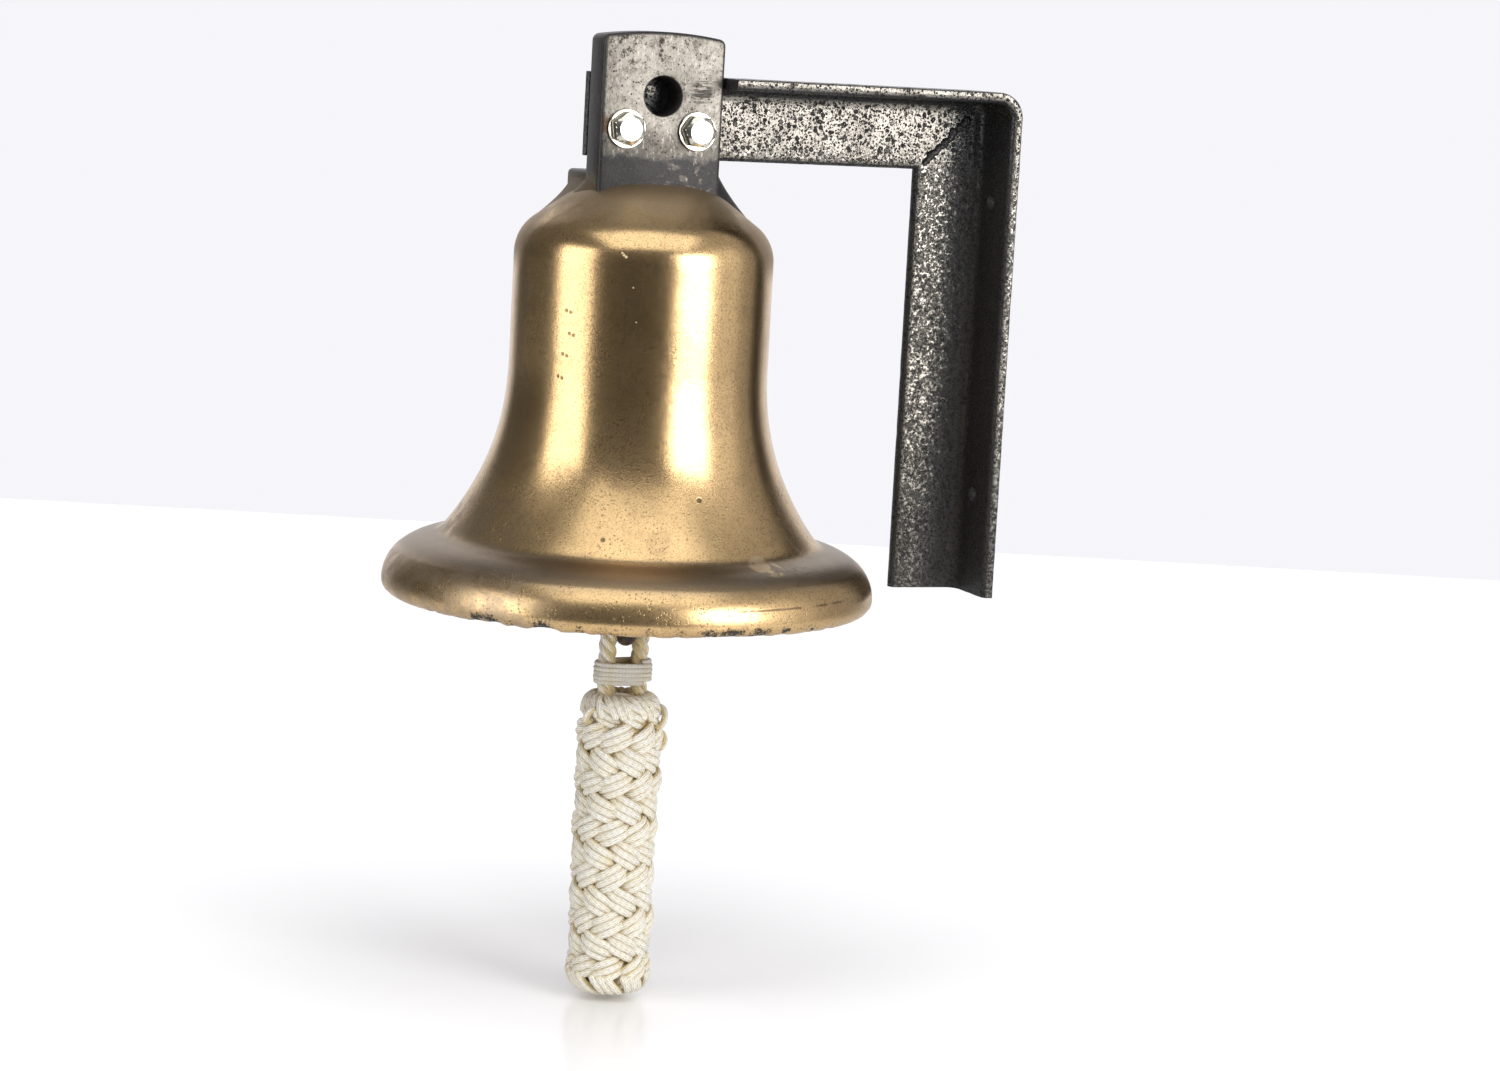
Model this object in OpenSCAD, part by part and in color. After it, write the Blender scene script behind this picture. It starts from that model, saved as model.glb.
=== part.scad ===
// Station platform bell: a cast bell with a lug, bolted to an angle iron wall bracket,
// with a swinging clapper and a rope lanyard.
// The origin is on the bracket's wall face, midway between its two screw holes.
// +X points into the wall, +Z is up, and the bracket's flange reaches forward along -Y.

/* [Bell] */
// Outer radius of the mouth, at the widest point of the lip
mouth_r = 134.2; // [128:0.2:140]
// Radius of the straight barrel
barrel_r = 70.3; // [66:0.1:74]
// Height of the crown's top above the mouth
crown_z = 227; // [222:0.5:232]
// Height at which the barrel turns into the shoulder
shoulder_z = 187; // [183:0.5:190]
// Radius of the shoulder's curve
shoulder_round = 24; // [18:0.5:28]
// Slope of the crown, in degrees from level
crown_slope = 36.5; // [33:0.5:40]
// Radius of the curve between the sloping crown and its flat top
crown_round = 45; // [25:1:50]
// Height at which the waist starts to flare
flare_top_z = 130; // [122:0.5:140]
// How sharply the waist flares, as a power
flare_power = 2.25; // [1.8:0.05:2.8]
// Height of the crease where the waist meets the lip
crease_z = 33; // [29:0.5:36]
// Radius of that crease
crease_r = 104.4; // [100:0.2:108]
// Radius of the lip's lower outer edge
lip_edge = 7.2; // [4:0.2:9]

/* [Bell wall] */
// Thickness of the barrel's wall
wall = 7.8; // [6:0.1:9]
// Thickness of the crown
crown_wall = 9; // [7.5:0.1:11]
// Radius of the mouth's inner edge
rim_inner_r = 117; // [113:0.5:121]
// Height at which the inside starts to flare
inner_flare_top_z = 150; // [142:1:158]
// How sharply the inside flares, as a power
inner_flare_power = 2.6; // [2.4:0.05:2.8]
// Radius of the curve inside the crown
inner_crown_round = 30; // [20:1:36]

/* [Lug] */
// Width of the lug
lug_w = 69; // [64:0.5:74]
// Thickness of the lug in front of the bracket
lug_t = 22; // [16:0.5:24]
// Depth of the lug's root behind the bracket's front face
root_back = 31; // [24:0.5:33]
// Height of the root's shelf above the mouth
shelf_z = 232; // [230:0.5:236]
// Height of the lug's top above the mouth, at its middle
lug_top_z = 308; // [304:0.5:314]
// Radius of the lug's arched top
lug_arch = 200; // [150:5:300]
// Radius of the lug's top corners
lug_corner = 4; // [2:0.5:6]
// Radius of the fillet between the lug's sides and the crown
lug_fillet = 28; // [22:0.5:32]
// Height at which that fillet starts
lug_fillet_z = 240; // [238:0.5:243]
// How far the foot's swell stands back from the lug's front face
foot_set_back = 10; // [2:0.5:16]
// Radius of the hanging hole through the lug
hang_hole_r = 10.5; // [8:0.1:11.5]
// Height of the hanging hole above the mouth
hang_hole_z = 274; // [272:0.5:280]

/* [Bracket] */
// Leg of the equal angle iron, outside
angle_leg = 45; // [42:0.5:48]
// Thickness of the angle iron
angle_t = 6; // [5:0.1:7]
// Radius of the angle iron's root fillet
root_round = 7; // [5:0.5:8]
// Radius of the angle iron's toes
toe_round = 3.5; // [2:0.1:4.5]
// Outside radius of the flange's bend
bend_r = 14; // [13.5:0.5:18]
// Distance from the wall to the bell's axis
reach = 204; // [197:0.5:212]
// Height of the arm's top above the mouth
arm_top_z = 284; // [283:0.5:287]
// Height of the leg's lower end above the mouth
leg_foot_z = 5; // [0:0.5:20]
// Height of the middle of the wall screw holes above the mouth
wall_holes_z = 142; // [136:0.5:148]
// Distance between the two wall screw holes
wall_hole_pitch = 163; // [150:0.5:176]
// Radius of the wall screw holes
wall_hole_r = 4.5; // [3:0.1:5.5]
// Distance of the bell's axis in front of the bracket's web
axis_to_web = 4; // [1:0.1:6]
// Gap between the cut flange and the lug
flange_gap = 1.5; // [0.5:0.1:3]
// Radius of the weld bead
weld_r = 2.2; // [1.5:0.1:3]

/* [Bolts] */
// Radius of the two bolts
bolt_r = 5; // [4:0.1:5.5]
// Length of the bolts under the head
bolt_len = 60; // [54:0.5:70]
// Distance between the two bolts
bolt_pitch = 40; // [37:0.5:43]
// Height of the bolts above the mouth
bolt_z = 256; // [254:0.5:257]
// Width of the hexagons across their flats
hex_af = 16; // [14:0.1:17]
// Height of the bolt heads
head_h = 6.4; // [5:0.1:8]
// Height of the nuts
nut_h = 8; // [6:0.1:9]
// Outer radius of the washers
washer_r = 10.5; // [10:0.1:11.5]
// Thickness of the washers
washer_t = 2; // [1:0.1:2.6]

/* [Clapper] */
// Height of the clapper's pivot above the mouth
pivot_z = 185; // [183:0.5:187]
// Radius of the clapper's pin
pin_r = 4; // [3:0.1:4.5]
// Radius of the clapper's rod
rod_r = 6; // [5:0.1:6.5]
// Radius of the clapper's ball
ball_r = 19; // [16:0.5:20]
// Height of the ball's centre above the mouth
ball_z = 36; // [33:0.5:40]
// Height of the tail eye's centre above the mouth, below it when negative
tail_eye_z = -10; // [-14:0.5:-6]
// Radius of the tail eye, to the middle of its bar
tail_eye_r = 12; // [11:0.1:14]
// Radius of the bar that the tail eye is bent from
tail_bar_r = 4; // [3:0.1:4.5]
// Radius to which the tail eye's bore is reamed
tail_bore_r = 8.3; // [8.1:0.1:8.5]
// Width of the slot in the staple's fork
slot_w = 9; // [8:0.1:10]
// Thickness of each ear of the fork
ear_t = 6; // [5:0.1:7]
// Depth of the fork from front to back, twice the radius of its rounded ends
fork_d = 18; // [17:0.5:20]
// Radius of the staple's screwed shank
shank_r = 6; // [5:0.1:6.5]
// How far the shank goes into the crown
shank_in = 10; // [6:0.5:11]
// Height of the staple's lock nut
staple_nut_h = 7; // [6:0.1:7.5]
// Width of the staple's lock nut across its flats
staple_nut_af = 19; // [16:0.5:20]
// Height of the pin's head
pin_head_h = 3; // [2:0.1:4]
// Radius of the split pin's wire
split_r = 1.2; // [0.8:0.1:1.5]

/* [Lanyard] */
// Radius of the doubled cords that loop through the tail
cords_r = 5; // [4:0.1:5.5]
// Length of the loop's straight legs
neck_len = 29; // [26:0.5:34]
// Height of the seizing round the neck
seizing_h = 15; // [10:0.5:18]
// Thickness of the seizing outside the cords
seizing_t = 1.6; // [1:0.1:2.5]
// Radius of the sennit body
sennit_r = 25; // [22:0.5:26]
// Length of the sennit body
sennit_len = 168; // [120:1:200]
// Radius of the sennit's rounded ends
sennit_round = 12; // [8:0.5:14]

/* [Clearances] */
// Radial clearance of a bolt in its hole
bolt_gap = 0.25; // [0.2:0.05:0.5]
// Radial clearance of a pin, nut or ball that fits closely
fit_gap = 0.05; // [0.03:0.01:0.08]
// Side clearance of the clapper's eye in the fork
side_gap = 0.3; // [0.3:0.05:0.5]
// Clearance of the lanyard's loop round the tail eye
loop_gap = 0.4; // [0.3:0.05:0.8]
// Clearance above and below the clapper's eye in the fork
eye_gap = 1.5; // [1:0.1:2.5]

/* [Hidden] */
$fn = 96;

// Steps along each curved stretch of the bell's outline
arc_steps = 8;
flare_steps = 16;
// How far a cut runs past the face that it opens
through = 1;

// The bell's axis and mouth in the part's frame
leg_half = angle_leg / 2;
bell_x = -reach;
bell_y = leg_half - angle_t - axis_to_web;
mouth_z = -wall_holes_z;
arm_top = mouth_z + arm_top_z;
leg_foot = mouth_z + leg_foot_z;
arm_len = reach + lug_w / 2;
web_front_y = leg_half - angle_t;

// Faces of the lug, from the bell's axis
lug_back_y = axis_to_web;
lug_front_y = lug_back_y - lug_t;

// Heights inside the crown, above the mouth
crown_in_z = crown_z - crown_wall;
staple_washer_z = crown_in_z - washer_t;
staple_nut_z = staple_washer_z - staple_nut_h;
fork_top_z = staple_nut_z - eye_gap;
fork_half_w = slot_w / 2 + ear_t;
fork_round = fork_d / 2;
boss_r = fork_round - side_gap;
slot_top_z = pivot_z + boss_r + eye_gap;
rod_top_z = pivot_z - fork_round - eye_gap;

// The clapper's pin, along X from its head to its end
pin_head_r = pin_r * 1.6;
split_hole_r = split_r + fit_gap;
split_x = fork_half_w + washer_t + split_hole_r + split_r;
pin_end_x = split_x + 2 * split_r + split_hole_r;
split_eye_r = 2 * split_r;
split_len = 2 * pin_r + 6 * split_r;

// The lanyard, from the loop's centre on the tail eye's bar
loop_z = tail_eye_z - tail_eye_r;
loop_r = tail_bar_r + cords_r + loop_gap;
sennit_top_z = loop_z - neck_len;
cords_in = sennit_round / 2;
seizing_z = sennit_top_z + 2 * seizing_t;

function arc(centre_r, centre_z, r, from, to, steps = arc_steps) = [
    for (i = [0:steps])
        let (a = from + (to - from) * i / steps)
            [centre_r + r * cos(a), centre_z + r * sin(a)]
];

// All of a list but its first point, which repeats the last point before it
function rest(points) = [for (i = [1:len(points) - 1]) points[i]];

// From the middle of a crown's flat top, down its slope and round the shoulder
function crown_line(barrel, round, top, top_round) =
    let (
        shoulder_r = barrel - round + round * sin(crown_slope),
        slope_z = shoulder_z + round * cos(crown_slope),
        edge_r = shoulder_r - (top - slope_z) / tan(crown_slope),
        flat_r = edge_r - top_round * tan(crown_slope / 2)
    )
    concat(
        [[0, top]],
        arc(flat_r, top - top_round, top_round, 90, 90 - crown_slope),
        arc(barrel - round, shoulder_z, round, 90 - crown_slope, 0)
    );

// Radius of the outside of the waist, and of the inside, at a height
function waist_r(z) =
    barrel_r + (crease_r - barrel_r) * pow((flare_top_z - z) / (flare_top_z - crease_z), flare_power);
function inside_r(z) =
    barrel_r - wall
    + (rim_inner_r - barrel_r + wall) * pow(1 - z / inner_flare_top_z, inner_flare_power);

waist_line = [
    for (i = [0:flare_steps])
        let (z = flare_top_z + (crease_z - flare_top_z) * i / flare_steps)
            [waist_r(z), z]
];
lip_line = [
    for (p = arc(0, 0, 1, 90, 0))
        [crease_r + (mouth_r - crease_r) * p[0], lip_edge + (crease_z - lip_edge) * p[1]]
];
outer_line = concat(
    crown_line(barrel_r, shoulder_round, crown_z, crown_round),
    waist_line,
    rest(lip_line),
    rest(arc(mouth_r - lip_edge, lip_edge, lip_edge, 0, -90)),
    [[0, 0]]
);
inner_line = concat(
    crown_line(barrel_r - wall, shoulder_round - wall, crown_in_z, inner_crown_round),
    [
        for (i = [0:flare_steps])
            let (z = inner_flare_top_z * (1 - i / flare_steps))
                [inside_r(z), z]
    ],
    [[rim_inner_r, -through], [0, -through]]
);

module at_bell() {
    translate([bell_x, bell_y, mouth_z]) children();
}

// A cylinder along Y from y0 to y1, and one along X from x0 to x1
module rod_y(r, y0, y1) {
    translate([0, y1, 0]) rotate([90, 0, 0]) cylinder(r = r, h = y1 - y0);
}

module rod_x(r, x0, x1) {
    translate([x0, 0, 0]) rotate([0, 90, 0]) cylinder(r = r, h = x1 - x0);
}

// A ring of round bar about the Z axis
module ring(ring_r, bar_r, angle = 360) {
    rotate_extrude(angle = angle) translate([ring_r, 0]) circle(bar_r);
}

module washer(hole_r) {
    difference() {
        cylinder(r = washer_r, h = washer_t);
        translate([0, 0, -through]) cylinder(r = hole_r, h = washer_t + 2 * through);
    }
}

// A hexagon with its corners turned off at the far end
module hexagon(af, height) {
    corner_r = af / sqrt(3);
    intersection() {
        cylinder(r = corner_r, h = height, $fn = 6);
        cylinder(r1 = corner_r + height, r2 = af * 0.49, h = height);
    }
}

module nut(af, height, hole_r) {
    difference() {
        hexagon(af, height);
        translate([0, 0, -through]) cylinder(r = hole_r, h = height + 2 * through);
    }
}

// The lug's face seen from the front, up from inside the crown
module lug_face() {
    corner_x = lug_w / 2 - lug_corner;
    arch_z = lug_top_z - lug_arch;
    corner_z = arch_z + sqrt(pow(lug_arch - lug_corner, 2) - pow(corner_x, 2));
    meet_x = corner_x * lug_arch / (lug_arch - lug_corner);
    intersection() {
        union() {
            translate([-lug_w / 2, shoulder_z]) square([lug_w, corner_z - shoulder_z]);
            translate([-meet_x, shoulder_z]) square([2 * meet_x, lug_top_z - shoulder_z]);
            for (side = [-1, 1])
                translate([side * corner_x, corner_z]) circle(lug_corner);
        }
        translate([0, arch_z]) circle(lug_arch, $fn = 360);
    }
}

// The lug's foot, which swells out to the crown's slope on both sides, behind its front face
module lug_foot() {
    foot_w = lug_w + 2 * lug_fillet * (1 - sin(crown_slope));
    difference() {
        translate([-foot_w / 2, shoulder_z]) square([foot_w, lug_fillet_z - shoulder_z]);
        for (side = [-1, 1])
            translate([side * (lug_w / 2 + lug_fillet), lug_fillet_z]) circle(lug_fillet);
    }
}

module lug() {
    translate([0, lug_back_y, 0])
        rotate([90, 0, 0]) {
            linear_extrude(lug_t) lug_face();
            linear_extrude(lug_t - foot_set_back) lug_foot();
        }
    translate([-lug_w / 2, lug_back_y, shoulder_z])
        cube([lug_w, root_back, shelf_z - shoulder_z]);
}

module bell() {
    color("darkgoldenrod")
        at_bell()
            difference() {
                union() {
                    rotate_extrude() polygon(outer_line);
                    lug();
                }
                rotate_extrude() polygon(inner_line);
                translate([0, 0, hang_hole_z])
                    rod_y(hang_hole_r, lug_front_y - through, lug_back_y + through);
                for (side = [-1, 1])
                    translate([side * bolt_pitch / 2, 0, bolt_z])
                        rod_y(bolt_r + bolt_gap, lug_front_y - through, lug_back_y + through);
                translate([0, 0, crown_in_z - through])
                    cylinder(r = shank_r + fit_gap, h = shank_in + 2 * through);
            }
}

// The angle iron's section, with its heel at the origin
module angle_section() {
    for (swap = [0, 1])
        mirror([swap, -swap]) {
            square([angle_leg - toe_round, angle_t]);
            square([angle_leg, angle_t - toe_round]);
            translate([angle_leg - toe_round, angle_t - toe_round]) circle(toe_round);
        }
    difference() {
        square(angle_t + root_round);
        translate([1, 1] * (angle_t + root_round)) circle(root_round);
    }
}

// A straight length of angle iron, standing on its end at the wall
module angle_bar(length) {
    translate([0, leg_half, 0]) rotate([0, 0, 180]) linear_extrude(length) angle_section();
}

// The corner: the section swept round the flange's bend
module bent_corner() {
    translate([-bend_r, leg_half, arm_top - bend_r])
        rotate([90, 0, 0])
            rotate_extrude(angle = 90)
                translate([bend_r, 0])
                    mirror([1, 0])
                        intersection() {
                            angle_section();
                            square([bend_r, angle_leg]);
                        }
}

module wall_bracket() {
    cut_w = lug_w + flange_gap + through;
    color("dimgray")
        difference() {
            union() {
                translate([0, 0, leg_foot]) angle_bar(arm_top - bend_r - leg_foot);
                translate([0, 0, arm_top])
                    mirror([1, 0, -1])
                        translate([0, 0, -arm_len]) angle_bar(arm_len - bend_r);
                bent_corner();
            }
            translate([-arm_len - through, -leg_half - through, arm_top - angle_leg - through])
                cube([cut_w, web_front_y + leg_half + through, angle_leg + 2 * through]);
            for (side = [-1, 1])
                translate([0, 0, side * wall_hole_pitch / 2])
                    rod_x(wall_hole_r, -angle_t - through, through);
            for (side = [-1, 1])
                at_bell()
                    translate([side * bolt_pitch / 2, 0, bolt_z])
                        rod_y(bolt_r + bolt_gap, lug_back_y - through, lug_back_y + angle_t + through);
        }
}

// The bead lies on the web from the inner corner to the root fillet
module mitre_weld() {
    near = angle_leg - toe_round - weld_r;
    far = angle_t + root_round + weld_r;
    bead_len = (near - far) * sqrt(2);
    color("black")
        intersection() {
            translate([-near, web_front_y, arm_top - near])
                rotate([0, 45, 0]) {
                    cylinder(r = weld_r, h = bead_len);
                    sphere(weld_r);
                    translate([0, 0, bead_len]) sphere(weld_r);
                }
            translate([-angle_leg, web_front_y - 2 * weld_r, arm_top - angle_leg])
                cube([angle_leg, 2 * weld_r, angle_leg]);
        }
}

// Places its children on a bolt's axis, with Z running forward out of the lug's face
module at_bolt(side, y) {
    at_bell()
        translate([side * bolt_pitch / 2, y, bolt_z]) rotate([90, 0, 0]) children();
}

module lug_bolt(side) {
    color("lightgray")
        at_bolt(side, lug_front_y - washer_t) {
            rotate([0, 0, 10 * side]) hexagon(hex_af, head_h);
            translate([0, 0, -bolt_len]) cylinder(r = bolt_r, h = bolt_len);
        }
}

module front_washer(side) {
    color("silver") at_bolt(side, lug_front_y) washer(bolt_r + bolt_gap);
}

module rear_washer(side) {
    color("silver") at_bolt(side, lug_back_y + angle_t + washer_t) washer(bolt_r + bolt_gap);
}

module lug_nut(side) {
    color("lightgray")
        at_bolt(side, lug_back_y + angle_t + washer_t)
            mirror([0, 0, 1]) nut(hex_af, nut_h, bolt_r + fit_gap);
}

module crown_staple() {
    color("dimgray")
        at_bell() {
            translate([0, 0, fork_top_z])
                cylinder(r = shank_r, h = crown_in_z + shank_in - fork_top_z);
            difference() {
                union() {
                    translate([-fork_half_w, -fork_round, pivot_z])
                        cube([2 * fork_half_w, fork_d, fork_top_z - pivot_z]);
                    translate([0, 0, pivot_z]) rod_x(fork_round, -fork_half_w, fork_half_w);
                }
                translate([-slot_w / 2, -fork_d, pivot_z - fork_d])
                    cube([slot_w, 2 * fork_d, slot_top_z - pivot_z + fork_d]);
                translate([0, 0, pivot_z])
                    rod_x(pin_r + fit_gap, -fork_half_w - through, fork_half_w + through);
            }
        }
}

module staple_washer() {
    color("gray") at_bell() translate([0, 0, staple_washer_z]) washer(shank_r + fit_gap);
}

module staple_nut() {
    color("gray")
        at_bell()
            translate([0, 0, staple_nut_z])
                nut(staple_nut_af, staple_nut_h, shank_r + fit_gap);
}

module clapper_pin() {
    color("slategray")
        at_bell()
            translate([0, 0, pivot_z])
                difference() {
                    union() {
                        rod_x(pin_r, -fork_half_w, pin_end_x);
                        rod_x(pin_head_r, -fork_half_w - pin_head_h, -fork_half_w);
                    }
                    translate([split_x, 0, -2 * pin_r]) cylinder(r = split_hole_r, h = 4 * pin_r);
                }
}

module pin_washer() {
    color("gray")
        at_bell()
            translate([fork_half_w, 0, pivot_z])
                rotate([0, 90, 0])
                    difference() {
                        cylinder(r = fork_round, h = washer_t);
                        translate([0, 0, -through])
                            cylinder(r = pin_r + fit_gap, h = washer_t + 2 * through);
                    }
}

module split_pin() {
    color("silver")
        at_bell()
            translate([split_x, 0, pivot_z]) {
                translate([0, 0, -split_len / 2]) cylinder(r = split_r, h = split_len);
                translate([0, 0, split_len / 2 + split_eye_r])
                    rotate([0, 90, 0]) ring(split_eye_r, split_r);
            }
}

module clapper_rod() {
    eye_half = slot_w / 2 - side_gap;
    taper = 2 * rod_r;
    color("darkslategray")
        at_bell() {
            difference() {
                union() {
                    translate([0, 0, pivot_z]) rod_x(boss_r, -eye_half, eye_half);
                    translate([-eye_half, -rod_r, rod_top_z])
                        cube([2 * eye_half, 2 * rod_r, pivot_z - rod_top_z]);
                }
                translate([0, 0, pivot_z])
                    rod_x(pin_r + fit_gap, -eye_half - through, eye_half + through);
            }
            translate([0, 0, tail_eye_z + tail_eye_r]) {
                cylinder(r1 = tail_bar_r, r2 = rod_r, h = taper);
                translate([0, 0, taper])
                    cylinder(r = rod_r, h = rod_top_z - tail_eye_z - tail_eye_r - taper);
            }
            translate([0, 0, tail_eye_z])
                difference() {
                    rotate([0, 90, 0]) ring(tail_eye_r, tail_bar_r);
                    rod_x(tail_bore_r, -tail_bar_r - through, tail_bar_r + through);
                }
        }
}

module clapper_ball() {
    color("dimgray")
        at_bell()
            translate([0, 0, ball_z])
                difference() {
                    sphere(ball_r);
                    translate([0, 0, -ball_r - through])
                        cylinder(r = rod_r + fit_gap, h = 2 * (ball_r + through));
                }
}

// The doubled cords: over the tail eye's bar and down on both sides of it
module lanyard_eye() {
    color("wheat")
        at_bell()
            translate([0, 0, loop_z]) {
                rotate([90, 0, 0]) ring(loop_r, cords_r, 180);
                for (side = [-1, 1])
                    translate([side * loop_r, 0, -neck_len - cords_in])
                        cylinder(r = cords_r, h = neck_len + cords_in);
            }
}

module lanyard_seizing() {
    color("ivory")
        at_bell()
            translate([0, 0, seizing_z])
                linear_extrude(seizing_h)
                    difference() {
                        union() {
                            for (side = [-1, 1])
                                translate([side * loop_r, 0]) circle(cords_r + seizing_t);
                            translate([-loop_r, -cords_r - seizing_t])
                                square(2 * [loop_r, cords_r + seizing_t]);
                        }
                        for (side = [-1, 1])
                            translate([side * loop_r, 0]) circle(cords_r + fit_gap);
                    }
}

module lanyard_sennit() {
    color("cornsilk")
        at_bell()
            translate([0, 0, sennit_top_z - sennit_len])
                difference() {
                    rotate_extrude() {
                        square([sennit_r - sennit_round, sennit_len]);
                        translate([0, sennit_round])
                            square([sennit_r, sennit_len - 2 * sennit_round]);
                        for (z = [sennit_round, sennit_len - sennit_round])
                            translate([sennit_r - sennit_round, z])
                                circle(sennit_round);
                    }
                    for (side = [-1, 1])
                        translate([side * loop_r, 0, sennit_len - cords_in])
                            cylinder(r = cords_r + fit_gap, h = cords_in + through);
                }
}

bell();
wall_bracket();
mitre_weld();
lug_bolt(-1);  // left_bolt
lug_bolt(1);  // right_bolt
front_washer(-1);  // left_front_washer
front_washer(1);  // right_front_washer
rear_washer(-1);  // left_rear_washer
rear_washer(1);  // right_rear_washer
lug_nut(-1);  // left_nut
lug_nut(1);  // right_nut
crown_staple();
staple_washer();
staple_nut();
clapper_pin();
pin_washer();
split_pin();
clapper_rod();
clapper_ball();
lanyard_eye();
lanyard_seizing();
lanyard_sennit();
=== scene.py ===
# %% [markdown]
# # A station platform bell
# A cast brass bell hangs by a flat lug from a bracket of angle iron. Inside it hangs an iron
# clapper with a short plaited rope to swing it by. The construction was drawn at its real size
# in another tool, so this lesson loads it as a fixed frame and dresses it, piece by piece.

# %% Load the frame
import math
import random

import bmesh
import bpy
import numpy as np
from mathutils import Matrix, Vector, noise


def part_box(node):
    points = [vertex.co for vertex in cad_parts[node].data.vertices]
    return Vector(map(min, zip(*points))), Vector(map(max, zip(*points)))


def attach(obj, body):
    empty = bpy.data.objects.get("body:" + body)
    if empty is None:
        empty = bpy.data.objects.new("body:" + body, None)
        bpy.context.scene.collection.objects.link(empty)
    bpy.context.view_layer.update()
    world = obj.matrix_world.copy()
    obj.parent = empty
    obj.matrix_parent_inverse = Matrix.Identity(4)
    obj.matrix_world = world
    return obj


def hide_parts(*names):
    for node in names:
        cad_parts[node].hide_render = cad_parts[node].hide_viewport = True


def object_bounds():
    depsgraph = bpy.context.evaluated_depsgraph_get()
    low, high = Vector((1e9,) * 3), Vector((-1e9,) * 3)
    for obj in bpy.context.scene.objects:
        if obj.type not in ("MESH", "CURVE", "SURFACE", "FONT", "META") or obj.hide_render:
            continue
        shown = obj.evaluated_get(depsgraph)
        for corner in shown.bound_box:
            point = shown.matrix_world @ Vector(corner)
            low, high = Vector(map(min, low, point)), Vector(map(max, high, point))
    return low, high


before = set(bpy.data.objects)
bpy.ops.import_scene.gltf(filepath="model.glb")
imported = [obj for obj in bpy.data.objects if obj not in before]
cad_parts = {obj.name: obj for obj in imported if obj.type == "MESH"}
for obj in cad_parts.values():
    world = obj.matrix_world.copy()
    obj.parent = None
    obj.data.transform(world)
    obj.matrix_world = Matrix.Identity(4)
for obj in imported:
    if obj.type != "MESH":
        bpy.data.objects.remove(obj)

cad_low, cad_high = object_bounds()
MM = 0.001
print("the frame is", [round(side / MM, 1) for side in cad_high - cad_low], "mm")

# %% [markdown]
# ## Where the bell is
# Every piece is placed from the frame. The bell's own box gives its axis, its mouth and its
# crown, so nothing has to be fitted by eye. The other sizes are those of the bench drawing.

# %% Find the bell's axis and mouth
bell_low, bell_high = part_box("bell")
AXIS_X = (bell_low.x + bell_high.x) / 2
AXIS_Y = (bell_low.y + bell_high.y) / 2
MOUTH_Z = bell_low.z
MOUTH_R = (bell_high.x - bell_low.x) / 2


def at_bell(points):
    """Moves points given in millimetres from the middle of the bell's mouth into the frame."""
    return np.asarray(points, float) * MM + np.array([AXIS_X, AXIS_Y, MOUTH_Z])


print("the mouth is", round(2 * MOUTH_R / MM, 1), "mm across at", round(MOUTH_Z, 4))

# %% [markdown]
# ## The camera
# The photograph was taken from the left and a little above, with a long lens, which keeps the
# upright lines of the bracket nearly parallel. The bell hangs here with its rope straight down,
# so the lens is a little shorter and aims lower to take in the rope's end.

# %% Set the camera
CAMERA_AT = Vector((-0.8752, -1.8660, 0.1685))
CAMERA_AIM = Vector((-0.1335, 0.0125, -0.1070))
CAMERA_ROLL = math.radians(3.16)
LENS_MM = 88.5

camera_data = bpy.data.cameras.new("camera")
camera_data.lens = LENS_MM
camera_data.sensor_width = 36.0
camera_data.clip_start = 0.05
camera_data.clip_end = 60.0
camera = bpy.data.objects.new("camera", camera_data)
bpy.context.scene.collection.objects.link(camera)
bpy.context.scene.camera = camera

forward = (CAMERA_AIM - CAMERA_AT).normalized()
right = forward.cross(Vector((0, 0, 1))).normalized()
up = right.cross(forward)
right, up = (
    right * math.cos(CAMERA_ROLL) + up * math.sin(CAMERA_ROLL),
    up * math.cos(CAMERA_ROLL) - right * math.sin(CAMERA_ROLL),
)
turn = Matrix((right, up, -forward)).transposed()
camera.matrix_world = Matrix.Translation(CAMERA_AT) @ turn.to_4x4()
bpy.context.scene.view_settings.view_transform = "Standard"
print("the camera stands", round((CAMERA_AT - CAMERA_AIM).length, 3), "m away")

# %% [markdown]
# ## The lamps
# Two tall soft boxes make the two bright bars on the bell, so their places follow from where
# the bars lie on the round body: one well to the left of the camera, one to the right. A third
# soft lamp above lights the crown and the flare. A lamp's brightness as seen in a mirror is its
# power over its area, so each lamp is set by that brightness and its size. A fourth stands for
# the light that the pale room scatters: it fills the rope and the floor, and no metal mirrors it.

# %% Hang the soft boxes
LAMP_TARGET = Vector((AXIS_X, AXIS_Y, 0.0))


def soft_box(name, azimuth, elevation, distance, width, height, brightness):
    """A rectangular lamp that looks at the bell from a direction given in degrees."""
    data = bpy.data.lights.new(name, "AREA")
    data.shape = "RECTANGLE"
    data.size, data.size_y = width, height
    data.energy = brightness * math.pi * width * height
    lamp = bpy.data.objects.new(name, data)
    around, rise = math.radians(azimuth), math.radians(elevation)
    back = Vector(
        (math.sin(around) * math.cos(rise), -math.cos(around) * math.cos(rise), math.sin(rise))
    )
    lamp.location = LAMP_TARGET + back * distance
    lamp.rotation_mode = "QUATERNION"
    lamp.rotation_quaternion = back.to_track_quat("Z", "Y")
    bpy.context.scene.collection.objects.link(lamp)
    return lamp


soft_box("left_soft_box", -80, 7.5, 1.5, 0.86, 1.06, 3.2)
soft_box("right_soft_box", 27, 9.5, 1.5, 0.81, 0.87, 6.8)
soft_box("top_soft_box", -15, 62, 1.4, 1.75, 1.25, 1.6)
fill_lamp = soft_box("fill_soft_box", -21.5, 10, 1.9, 1.2, 1.2, 1.9)
fill_lamp.visible_glossy = False
print("four lamps hang round the bell")

# %% [markdown]
# ## Words for shaders
# A shader is a tree of small nodes. This class gives one word to each step that comes back all
# the time, such as a ramp, a product or a coat of colour laid over another.

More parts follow.
